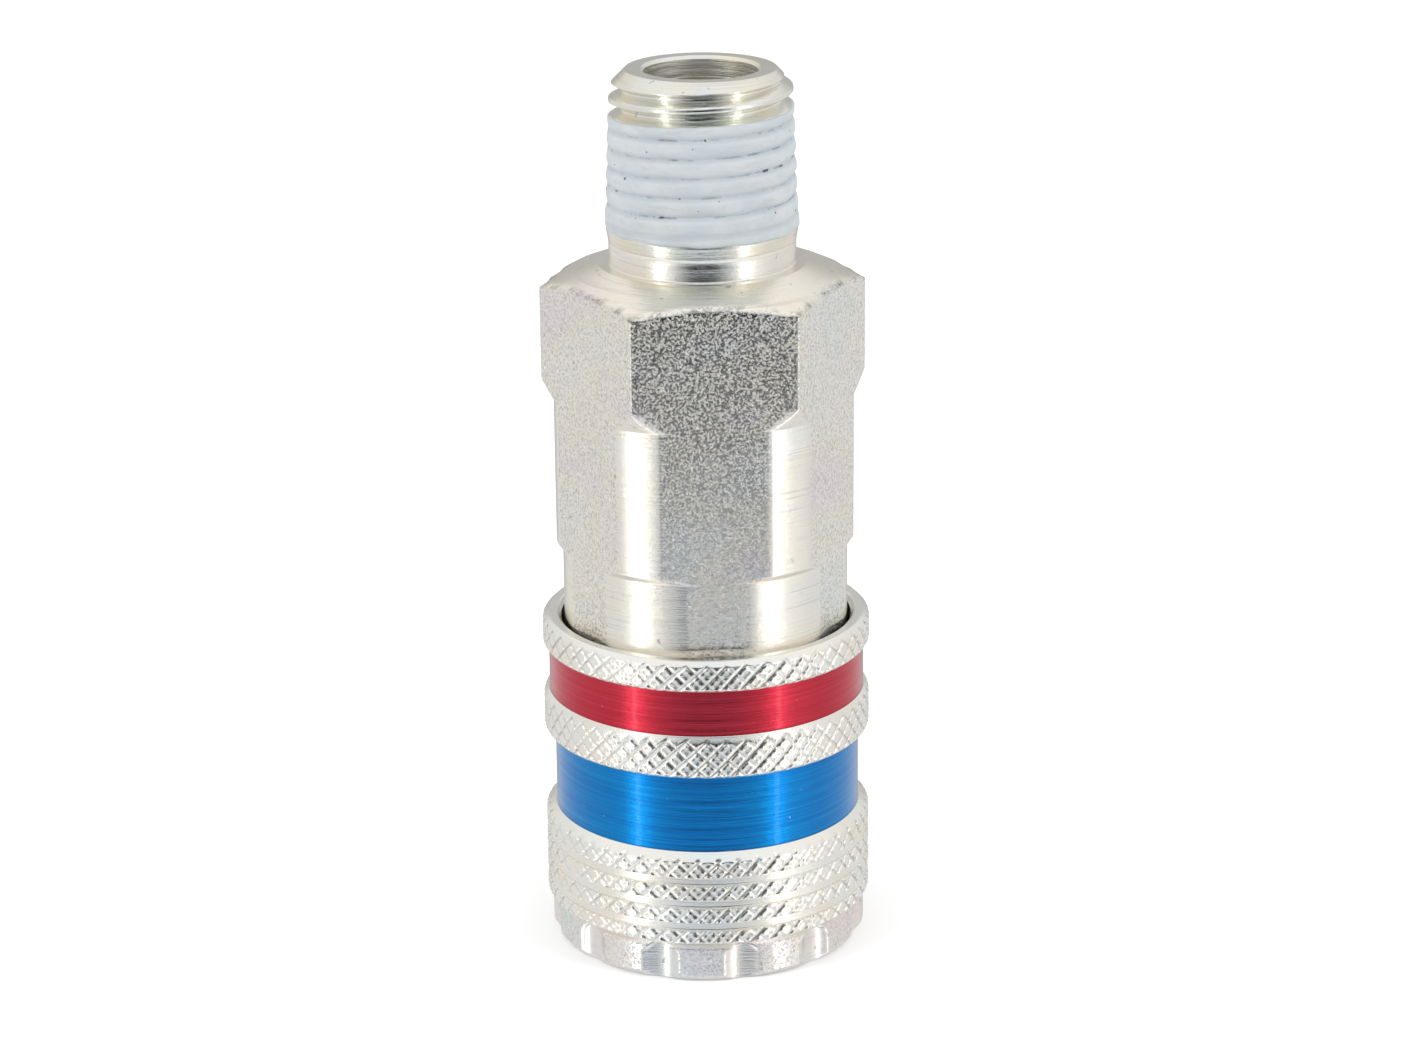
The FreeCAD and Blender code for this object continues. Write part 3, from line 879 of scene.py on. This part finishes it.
@dataclass
class LockingSleeve:
    """The knurled sleeve with its blue and red bands."""

    outer: float = 11.85
    bottom: float = 2.95
    top: float = 24.4
    bore: float = 10.45
    shoulder: float = 14.93
    land: float = 8.25
    groove: float = 9.126
    vent_cone: tuple[float, float] = (3.25, 7.98)
    main_cone: tuple[float, float] = (8.48, 13.21)
    grip_floor: float = 11.55
    grip_grooves: tuple[float, ...] = (3.93, 5.68, 7.41)
    grip_width: float = 0.74
    blue: Band = Band(11.05, 9.9, 15.65)
    red: Band = Band(11.40, 18.8, 22.1)
    shoulder_drop: float = 0.6
    lip: float = 0.28
    film: float = 0.08
    columns_per_tooth: int = 12
    knurl: Knurl = field(default_factory=Knurl)

    def outline(self) -> list[Corner]:
        """The sleeve's half section, up the outside and down the inside."""
        corners = [Corner(self.land, self.bottom, 0.1), Corner(self.outer - 0.22, self.bottom, 0.12)]
        corners.append(Corner(self.outer, self.bottom + 0.2, 0.1))
        for foot in self.grip_grooves:
            head = foot + self.grip_width
            corners += [
                Corner(self.outer, foot, 0.07),
                Corner(self.grip_floor, foot + 0.1, 0.1),
                Corner(self.grip_floor, head - 0.1, 0.1),
                Corner(self.outer, head, 0.07),
            ]
        for band in (self.blue, self.red):
            floor = band.radius - self.film
            corners += [
                Corner(self.outer, band.low - self.shoulder_drop, 0.18),
                Corner(band.radius + 0.12, band.low, 0.05),
                Corner(floor, band.low, 0.02),
                Corner(floor, band.high, 0.02),
                Corner(self.outer - self.lip, band.high, 0.07),
                Corner(self.outer, band.high + self.lip, 0.08),
            ]
        corners += [Corner(self.outer, self.top - 0.42, 0.3), Corner(self.outer - 0.45, self.top, 0.3)]
        corners += [Corner(self.bore + 0.3, self.top, 0.2), Corner(self.bore, self.top - 0.35, 0.15)]
        corners += [
            Corner(self.bore, self.shoulder, 0.1),
            Corner(self.land, self.shoulder, 0.1),
            Corner(self.land, self.main_cone[1]),
            Corner(self.groove, self.main_cone[0]),
            Corner(self.groove, self.vent_cone[1]),
            Corner(self.land, self.vent_cone[0]),
        ]
        return corners

    def step(self, radius: float, height: float) -> float:
        """Longest step along the outline. The knurled stretches are sampled finely."""
        return 0.11 if radius > self.outer - 0.3 and height < self.top - 0.2 else 0.6

    def relief(self, angle: np.ndarray, radius: np.ndarray, height: np.ndarray) -> np.ndarray:
        """Cuts the knurl where the sleeve was left at its full diameter."""
        crown = self.outer + self.knurl.height(angle, height)
        outside = radius > self.bore + 0.4
        return np.where(outside, smooth_min(radius, crown, 0.04), radius)

    def build(self) -> None:
        """Makes the sleeve and its two lacquered bands."""
        outline = trace(self.outline(), self.step)
        angles = even_angles(self.knurl.teeth * self.columns_per_tooth)
        sleeve = turn_piece("knurled_sleeve", outline, angles, self.relief)
        angle, radius = np.meshgrid(angles, outline[:, 0])
        level = np.broadcast_to(outline[:, 1:2], radius.shape)
        full = smooth_step(self.outer - 0.30, self.outer - 0.16, radius)
        store(sleeve, "knurled", full)
        # knurl_depth also sets where the finish paints shade into the knurl's grooves
        store(sleeve, "knurl_depth", full * -self.knurl.height(angle, level) / self.knurl.groove)
        settle(sleeve, "sleeve", Finish.NICKEL, "locking_sleeve")
        self.build_band("blue_lacquer_band", "blue_band", self.blue, Finish.BLUE)
        self.build_band("red_lacquer_band", "red_band", self.red, Finish.RED)

    def build_band(self, name: str, node: str, band: Band, finish: Finish) -> None:
        """Makes one lacquered band with the faint rings that turning left under it.

        Args:
            name: Name of the piece.
            node: The CAD node that it replaces.
            band: Its radius and its two ends.
            finish: Its finish.
        """
        outline = trace(
            [
                Corner(band.radius - self.film, band.low),
                Corner(band.radius, band.low, 0.03),
                Corner(band.radius, band.high, 0.03),
                Corner(band.radius - self.film, band.high),
            ],
            lambda _radius, _height: 0.12,
        )

        def rings(angle: np.ndarray, rim: np.ndarray, height: np.ndarray) -> np.ndarray:
            """Lets the surface wander by a few thousandths, as a form tool leaves it."""
            return rim + 0.0025 * np.sin(height * 9.0) + 0.002 * ripple(angle * 0, height, 5, 0.2)

        settle(turn_piece(name, outline, even_angles(360), rings), "sleeve", finish, node)


@dataclass
class RearBody:
    """The hexagon body and the threaded tail with its sealant."""

    phase: float = math.radians(4.5)
    flats: float = 20.0
    skirt: Band = Band(10.22, 21.78, 29.5)
    skirt_bore: float = 8.45
    collar: tuple[float, float] = (10.67, 40.5)
    corner_height: float = 42.0
    cone_height: float = 48.6
    cone_foot: float = 7.4
    shank_height: float = 50.25
    shank: float = 6.6
    runout: float = 51.9
    tip: float = 63.95
    tip_crest: float = 6.391
    tip_chamfer: float = 1.15
    taper: float = 0.03125
    pitch: float = 1.337
    thread_depth: float = 0.856
    crest_flat: float = 0.29
    flank: float = 0.5206
    crest_at_front: float = 62.2
    inlet: float = 4.0
    inlet_foot: float = 44.3
    plenum: tuple[float, float] = (5.3, 43.0)
    guide_seat: float = 40.5
    rear_chamber: float = 5.9
    gasket_top: float = 33.88
    joint_bore: float = 6.83
    sealant_low: float = 52.66
    sealant_high: float = 61.06
    sealant_inner: float = 5.45

    def hexagon(self, angle: np.ndarray) -> np.ndarray:
        """Radius of the hexagon bar at each angle."""
        away = wrapped(angle - self.phase + math.pi / 2, math.pi / 3)
        return self.flats / 2 / np.cos(away)

    def sector_angles(self) -> np.ndarray:
        """Angles round the bar, close together where a flat meets a turned face or another flat."""
        half = self.flats / 2
        meets = [math.acos(half / radius) for radius in (self.skirt.radius, self.collar[0])] + [math.pi / 6]
        near = [math.radians(step) for step in (0.25, 0.6, 1.1)]
        offsets = {round(share * math.pi / 6 / 18, 6) for share in range(19)}
        for meet in meets:
            offsets |= {round(meet, 6)} | {round(meet - step, 6) for step in near}
            offsets |= {round(min(meet + step, math.pi / 6), 6) for step in near}
        half_sector = sorted(offsets)
        sector = [-offset for offset in half_sector[:0:-1]] + half_sector[:-1]
        start = self.phase - math.pi / 2
        return np.array([start + face * math.pi / 3 + offset for face in range(6) for offset in sector])

    def body_outline(self) -> list[Corner]:
        """Half section of the bar from the skirt to the step in the shank."""
        bar = self.flats / math.sqrt(3)
        return [
            Corner(self.skirt_bore, self.skirt.low, 0.05),
            Corner(self.skirt.radius, self.skirt.low, 0.15),
            Corner(self.skirt.radius, self.skirt.high, 0.08),
            Corner(self.collar[0], self.skirt.high + 0.42, 0.08),
            Corner(self.collar[0], self.collar[1], 0.1),
            Corner(bar + 0.02, self.corner_height, 0.1),
            Corner(bar + 0.02, self.cone_height, 0.1),
            Corner(self.cone_foot, self.shank_height, 0.15),
            Corner(self.shank, self.shank_height, 0.12),
            Corner(self.shank, self.runout),
            Corner(self.inlet, self.runout),
            Corner(self.inlet, self.inlet_foot, 0.1),
            Corner(self.plenum[0], self.plenum[1], 0.1),
            Corner(self.plenum[0], self.guide_seat, 0.05),
            Corner(self.rear_chamber, self.guide_seat, 0.05),
            Corner(self.rear_chamber, self.gasket_top, 0.05),
            Corner(self.joint_bore, self.gasket_top, 0.05),
            Corner(self.joint_bore, NECK_TOP, 0.05),
            Corner(self.skirt_bore, NECK_TOP, 0.1),
        ]

    def cut_flats(self, angle: np.ndarray, radius: np.ndarray, height: np.ndarray) -> np.ndarray:
        """Leaves the hexagon's flats wherever turning did not reach them."""
        return np.where(radius > 9.0, smooth_min(radius, self.hexagon(angle), 0.16), radius)

    def crest(self, height: np.ndarray) -> np.ndarray:
        """Radius of the thread's crests on their taper."""
        return self.tip_crest + (self.tip - height) * self.taper

    def from_crest(self, angle: np.ndarray, height: np.ndarray) -> np.ndarray:
        """Height above or below the nearest crest of the right-hand thread."""
        climb = self.pitch * (angle + math.pi / 2) / FULL_TURN
        return wrapped(height - self.crest_at_front - climb, self.pitch)

    def thread(self, angle: np.ndarray, height: np.ndarray) -> np.ndarray:
        """Radius of the cut thread, with slightly rounded crests and roots."""
        away = np.abs(self.from_crest(angle, height)) - self.crest_flat / 2
        drop = np.maximum(away, 0.0) / self.flank
        drop = smooth_min(drop, np.full_like(drop, self.thread_depth), 0.12)
        rounding = 0.03 * np.clip(1.0 + away / (self.crest_flat / 2), 0.0, 1.0) ** 2
        return self.crest(height) - drop - rounding

    def cut_thread(self, angle: np.ndarray, radius: np.ndarray, height: np.ndarray) -> np.ndarray:
        """Cuts the thread from its run-out to the end of the tail."""
        run_out = 1.2 * (1.0 - smooth_step(self.runout + 0.5, self.runout + 1.4, height))
        cut = smooth_min(radius, self.thread(angle, height) + run_out, 0.06)
        return np.where(radius > self.inlet + 0.8, cut, radius)

    def tail_outline(self) -> list[Corner]:
        """Half section of the threaded tail from the step in the shank."""
        foot = self.runout + 0.75
        shoulder = self.tip - self.tip_chamfer
        face = float(self.crest(shoulder)) - self.tip_chamfer
        return [
            Corner(self.inlet, self.runout),
            Corner(self.shank, self.runout),
            Corner(self.shank + 0.03, self.runout + 0.05, 0.03),
            Corner(float(self.crest(foot)), foot, 0.15),
            Corner(float(self.crest(shoulder)), shoulder, 0.12),
            Corner(face, self.tip, 0.16),
            Corner(self.inlet + 0.22, self.tip, 0.08),
            Corner(self.inlet, self.tip - 0.22, 0.08),
        ]

    def tail_step(self, radius: float, height: float) -> float:
        """Longest step along the tail's outline. The thread is sampled finely."""
        return 0.07 if radius > self.inlet + 0.8 else 0.5

    def build(self) -> None:
        """Makes the hexagon body, the threaded tail and the sealant."""
        outline = trace(self.body_outline(), self.body_step)
        angles = self.sector_angles()
        body = turn_piece("hexagon_body", outline, angles, self.cut_flats)
        angle, radius = np.meshgrid(angles, outline[:, 0])
        drawn = smooth_step(-0.02, 0.03, radius - self.hexagon(angle)) * (radius > 9.0)
        store(body, "flatness", drawn)
        on_shoulder = (outline[:, 1:2] > self.cone_height) * (outline[:, 0:1] > 7.2)
        meeting = 1.0 - smooth_step(0.03, 0.22, np.abs(radius - self.hexagon(angle)))
        store(body, "yellowed", 0.6 * (1.0 - drawn) * on_shoulder)
        store(body, "edge", meeting * (outline[:, 1:2] > self.cone_height - 0.1))
        settle(body, "housing", Finish.ZINC, "rear_body")
        outline, angles = trace(self.tail_outline(), self.tail_step), even_angles(288)
        tail = turn_piece("threaded_tail", outline, angles, self.cut_thread)
        store(tail, "bored", np.repeat(outline[:, 0] < self.inlet + 0.1, len(angles)))
        settle(tail, "housing", Finish.TAIL_ZINC, "rear_body")
        self.build_sealant()

    def body_step(self, radius: float, height: float) -> float:
        """Longest step along the body's outline, shorter where the flats cut the cones."""
        on_lower_cone = radius > 10.6 and self.collar[1] < height < self.corner_height
        on_upper_cone = radius > 9.5 and height > self.cone_height
        on_chamfer = radius > 10.1 and self.skirt.high < height < self.skirt.high + 0.45
        return 0.06 if on_lower_cone or on_upper_cone or on_chamfer else 0.8

    def build_sealant(self) -> None:
        """Spreads sealant over the thread: sunk between the crests, thin on them, ragged at its ends."""
        columns, rows = 360, 150
        angle, share = np.meshgrid(even_angles(columns) - math.pi, np.linspace(0.0, 1.0, rows))
        turn = wrapped(angle + math.pi / 2, FULL_TURN)
        climb = self.pitch * turn / FULL_TURN
        seam = smooth_step(2.5, math.pi, np.abs(turn))
        low = self.sealant_low + 0.09 * ripple(angle, 0.0, 11) + 0.12 * np.cos(angle + 2.2)
        high = self.sealant_high + climb * (1.0 - seam) + 0.035 * ripple(angle, 0.0, 12)
        level = low + (high - low) * share
        from_crest = self.from_crest(angle, level)
        valley = np.abs(np.sin(math.pi * from_crest / self.pitch))
        filled = np.clip(0.75 + 0.45 * ripple(angle, level, 23, 3.5), 0.3, 1.3)
        lower_fill = 1.0 - smooth_step(53.2, 55.0, level)
        uneven = ripple(angle, level, 21, 1.6)
        sink = (0.17 * filled + 0.04 * uneven) * valley**3 * (1.0 - 0.75 * lower_fill)
        crease_line = smooth_step(0.975, 0.9995, valley) * (1.0 - lower_fill) * np.minimum(filled, 1.0)
        film = 0.045 + 0.022 * uneven + 0.05 * lower_fill
        grit = 0.010 * ripple(angle, level, 22, 0.5)
        radius = self.crest(level) + film - sink - 0.05 * crease_line + grit
        edge = np.minimum(level - low, high - level)
        fade = np.sqrt(np.clip(edge / 0.22, 0.0, 1.0))
        metal = self.thread(angle, level)
        radius = metal + (radius - metal) * (0.02 + 0.98 * fade)
        inner = np.full((2, columns), self.sealant_inner)
        ends = np.stack((high[0], low[0]))
        all_radius = np.concatenate((radius, inner))
        all_level = np.concatenate((level, ends))
        all_angle = np.concatenate((angle, angle[:2]))
        across, along = all_radius * np.cos(all_angle), all_radius * np.sin(all_angle)
        points = np.stack((across, along, all_level), axis=-1).reshape(-1, 3)
        sealant = make_object("sealant_coat", points, loop_faces(*all_radius.shape))
        blank = np.zeros_like(inner)
        # crease and crest place the painted crease shadow and valley shade in the sealant finish
        store(sealant, "crease", np.concatenate((crease_line, blank)))
        store(sealant, "crest", np.concatenate((1.0 - valley, blank)))
        settle(sealant, "housing", Finish.SEALANT, "thread_sealant")


@dataclass
class FrontBody:
    """The fluted flange, and inside it the socket, ball cage, neck and valve seat."""

    flange: float = 11.45
    flange_top: float = 2.9
    flutes: int = 12
    flute_phase: float = math.radians(12.25)
    cutter: float = 2.3
    flute_depth: float = 0.5
    flute_top: float = 2.74
    flute_half_width: float = 1.33
    arch_drop: float = 0.55
    uncut: float = 99.0
    guide: Band = Band(6.25, 0.6, 5.33)
    socket: float = 6.0
    cage: float = 8.15
    cage_top: float = 14.88
    neck: float = 7.15
    joint: float = 6.8
    front_top: float = 32.88
    chamber: float = 5.6
    seat: tuple[float, float] = (21.48, 22.98)
    probe: float = 4.1
    seal_groove: Band = Band(5.9, 18.18, 20.48)
    plug_depth: float = 17.18
    ball_floor: float = 6.25
    pocket: float = 1.6
    lip_hole: float = 1.4
    ball_rows: tuple[tuple[float, int, float], ...] = ((12.48, 6, -math.pi / 2), (7.98, 3, 0.0))

    def outline(self) -> list[Corner]:
        """Half section of the front body."""
        groove = self.seal_groove
        return [
            Corner(self.guide.radius + self.guide.low, 0.0, 0.08),
            Corner(self.flange - 0.38, 0.0, 0.12),
            Corner(self.flange, 0.38, 0.15),
            Corner(self.flange, self.flange_top - 0.45, 0.12),
            Corner(self.flange - 0.42, self.flange_top, 0.12),
            Corner(self.cage, self.flange_top, 0.1),
            Corner(self.cage, self.cage_top, 0.1),
            Corner(self.neck, self.cage_top, 0.1),
            Corner(self.neck, NECK_TOP, 0.05),
            Corner(self.joint, NECK_TOP, 0.05),
            Corner(self.joint, self.front_top, 0.1),
            Corner(self.chamber, self.front_top, 0.1),
            Corner(self.chamber, self.seat[1], 0.05),
            Corner(self.probe, self.seat[0], 0.05),
            Corner(self.probe, groove.high, 0.05),
            Corner(groove.radius, groove.high, 0.1),
            Corner(groove.radius, groove.low, 0.1),
            Corner(self.probe, groove.low, 0.05),
            Corner(self.probe, self.plug_depth, 0.1),
            Corner(self.socket, self.plug_depth, 0.1),
            Corner(self.socket, self.guide.high + self.guide.radius - self.socket, 0.05),
            Corner(self.guide.radius, self.guide.high, 0.05),
            Corner(self.guide.radius, self.guide.low, 0.1),
        ]

    def cut_flutes(self, angle: np.ndarray, radius: np.ndarray, height: np.ndarray) -> np.ndarray:
        """Cuts the round flutes into the flange, each with a rounded upper end."""
        centre = self.flange - self.flute_depth + self.cutter
        away = wrapped(angle - self.flute_phase, FULL_TURN / self.flutes)
        sideways = centre * np.sin(away)
        reach = np.sqrt(np.maximum(self.cutter**2 - sideways**2, 0.0))
        flute = np.where(np.abs(sideways) < self.cutter, centre * np.cos(away) - reach, self.uncut)
        to_side = np.clip(np.abs(sideways) / self.flute_half_width, 0.0, 1.0)
        arch = self.flute_top - self.arch_drop * to_side**3
        flute = flute + 1.2 * smooth_step(-0.12, 0.06, height - arch)
        return np.where((radius > 10.0) & (height < 3.0), smooth_min(radius, flute, 0.07), radius)

    def step(self, radius: float, height: float) -> float:
        """Longest step along the outline, shorter on the fluted flange."""
        return 0.09 if radius > 10.4 and height < 3.0 else 0.8

    def build(self) -> None:
        """Makes the front body and drills its ball pockets."""
        outline, angles = trace(self.outline(), self.step), even_angles(432)
        body = turn_piece("fluted_front_body", outline, angles, self.cut_flutes)
        angle, radius = np.meshgrid(angles, outline[:, 0])
        cut = radius - self.cut_flutes(angle, radius, np.broadcast_to(outline[:, 1:2], radius.shape))
        land = (radius > self.flange - 0.05) * (1.0 - smooth_step(0.0, 0.05, cut))
        store(body, "flatness", 0.7 * land)
        for height, count, first in self.ball_rows:
            for index in range(count):
                angle = first + index * FULL_TURN / count
                drill(body, self.lip_hole, self.socket - 1.0, self.ball_floor + 0.2, angle, height)
                drill(body, self.pocket, self.ball_floor, self.cage + 0.5, angle, height)
        settle(body, "housing", Finish.NOSE_ZINC, "front_body")


@dataclass
class Springs:
    """The two coil springs."""

    travel: float = 4.0
    sleeve_spring: Coil = Coil(7.8, 0.9, WASHER_TOP, NECK_TOP, 3.6)
    valve_spring: Coil = Coil(3.4, 0.7, 24.87, 38.0, 6.5)

    def build(self) -> None:
        """Winds both springs and hangs them on the housing."""
        for node, joint, coil in (
            ("sleeve_spring", "sleeve_slide", self.sleeve_spring),
            ("valve_spring", "valve_slide", self.valve_spring),
        ):
            spring = coil_piece(node + "_coil", coil)
            settle(spring, "housing", Finish.SPRING, node)
            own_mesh(spring)


@dataclass
class InnerParts:
    """The CAD nodes that stay in view as they are and only need a finish."""

    finishes: dict[str, Finish] = field(
        default_factory=lambda: {
            "valve_poppet": Finish.BRASS,
            "valve_guide": Finish.BRASS,
            "valve_seal": Finish.RUBBER,
            "plug_seal": Finish.RUBBER,
            "body_gasket": Finish.RUBBER,
            "spring_washer": Finish.SPRING,
        }
    )

    def build(self) -> None:
        """Dresses the inner parts and every ball."""
        balls = {node: Finish.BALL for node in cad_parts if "_ball_" in node}
        for node, finish in {**self.finishes, **balls}.items():
            finish.dress_node(node)
            log.info("%s: %s", node, finish.slot)


# ---------------------------------------------------------------- the studio


@dataclass
class Studio:
    """Camera, floor and soft lights. Lengths are in metres, and the lamps' directions in degrees."""

    distance: float = 0.26042
    eye_height: float = 0.116853
    pitch: float = math.radians(18.31)
    roll: float = math.radians(-0.55)
    lens: float = 97.43
    floor_size: float = 6.0
    floor_height: float = -0.0001
    softbox_sides: tuple[tuple[str, float], ...] = (("left_softbox", -62.0), ("right_softbox", 66.0))
    softbox_rise: float = 38.0
    softbox_distance: float = 0.5
    softbox_size: tuple[float, float] = (0.20, 0.30)
    softbox_power: float = 1.0
    softbox_aim: float = 0.03

    def build(self) -> None:
        """Sets up everything around the object."""
        self.build_camera()
        self.build_floor()
        self.build_world()
        for name, side in self.softbox_sides:
            self.build_softbox(name, side)

    def build_camera(self) -> None:
        """Places the camera level with the axis, looking slightly down."""
        camera = bpy.data.objects.new("camera", bpy.data.cameras.new("camera"))
        camera.data.lens = self.lens
        camera.data.sensor_width = 36.0
        camera.data.clip_start = 0.01
        look = Matrix.Rotation(math.pi / 2 - self.pitch, 4, "X") @ Matrix.Rotation(self.roll, 4, "Z")
        camera.matrix_world = Matrix.Translation((0.0, -self.distance, self.eye_height)) @ look
        bpy.context.collection.objects.link(camera)
        bpy.context.scene.camera = camera

    def build_floor(self) -> None:
        """Lays a plain pale floor."""
        half = self.floor_size / 2
        mesh = bpy.data.meshes.new("floor")
        corners = [(-half, -half), (half, -half), (half, half), (-half, half)]
        mesh.from_pydata([(x, y, self.floor_height) for x, y in corners], [], [(0, 1, 2, 3)])
        floor = bpy.data.objects.new("floor", mesh)
        bpy.context.collection.objects.link(floor)
        shader = SurfaceShader("pale_floor")
        cloud = shader.noise(0.002, 2.0)
        colour = shader.mix(cloud, (0.92, 0.92, 0.92, 1.0), (0.95, 0.95, 0.95, 1.0))
        finish = shader.finish(Base_Color=colour, Roughness=0.9, Specular_IOR_Level=0.0)
        floor.data.materials.append(finish)
        floor.visible_glossy = False

    def build_world(self) -> None:
        """Lights the object with even white, and gives the metal a patterned studio to reflect.

        Reflections see two bright strips and two softer boxes beside the camera, a dim and slightly
        blue room in front that brightens towards the floor, a dimmer back and a pale ceiling.
        """
        world = bpy.data.worlds.new("studio")
        bpy.context.scene.world = world
        sky = SkyShader(world)
        bearing = sky.bearing()
        mirrored = bearing * -1.0
        around = sky.node("ShaderNodeMath", {"operation": "ABSOLUTE"}, {0: bearing})
        strips = around.between(51.0, 53.0) * around.between(55.0, 57.0, 1.0, 0.0) * 3.2
        right_box = bearing.between(48.0, 60.0) * bearing.between(74.0, 90.0, 1.0, 0.0)
        left_box = mirrored.between(34.0, 46.0) * mirrored.between(60.0, 74.0, 1.0, 0.0)
        back = sky.back.between(0.80, 0.97) * 0.30
        front = bearing.between(12.0, 44.0, 1.0, 0.0) * mirrored.between(12.0, 40.0, 1.0, 0.0)
        near_floor = sky.up.between(-0.352, -0.288, 1.0, 0.0)
        overhead = sky.up.between(0.35, 0.85)
        boxes = right_box * 0.16 + left_box * 0.14
        dimming = front * (0.77 - near_floor * 0.78)
        level = strips + boxes + 0.78 - back - dimming
        level = level * (1.0 - overhead) + overhead * 0.95
        seen = sky.node("ShaderNodeLightPath", {}, {}, "Is Glossy Ray")
        strength = (level - 1.0) * seen + 1.0
        tint = sky.mix(front * seen, (1.0, 1.0, 1.0, 1.0), (0.90, 0.97, 1.07, 1.0))
        light = sky.node("ShaderNodeBackground", {}, {"Color": tint, "Strength": strength})
        sky.end("ShaderNodeOutputWorld", light)
        bpy.context.scene.view_settings.view_transform = "Standard"

    def build_softbox(self, name: str, side: float) -> None:
        """Hangs one softbox that faces the middle of the object and doesn't show in reflections.

        Args:
            name: Name of the lamp.
            side: Degrees round from the camera's side, positive to the right.
        """
        lamp = bpy.data.lights.new(name, "AREA")
        lamp.shape = "RECTANGLE"
        lamp.size, lamp.size_y = self.softbox_size
        lamp.energy = self.softbox_power
        bearing, rise = math.radians(side), math.radians(self.softbox_rise)
        flat = math.cos(rise)
        direction = Vector((flat * math.sin(bearing), -flat * math.cos(bearing), math.sin(rise)))
        holder = bpy.data.objects.new(name, lamp)
        holder.visible_glossy = False
        turn = direction.to_track_quat("Z", "Y").to_matrix().to_4x4()
        place = direction * self.softbox_distance + Vector((0, 0, self.softbox_aim))
        holder.matrix_world = Matrix.Translation(place) @ turn
        bpy.context.collection.objects.link(holder)


def main() -> None:
    """Builds the coupler from the outside in, then the studio."""
    logging.basicConfig(level=logging.INFO, format="%(name)s: %(message)s")
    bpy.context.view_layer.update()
    for assembly in (LockingSleeve(), RearBody(), FrontBody(), Springs(), InnerParts(), Studio()):
        assembly.build()
        log.info("%s done", type(assembly).__name__)


if __name__ == "__main__":
    main()
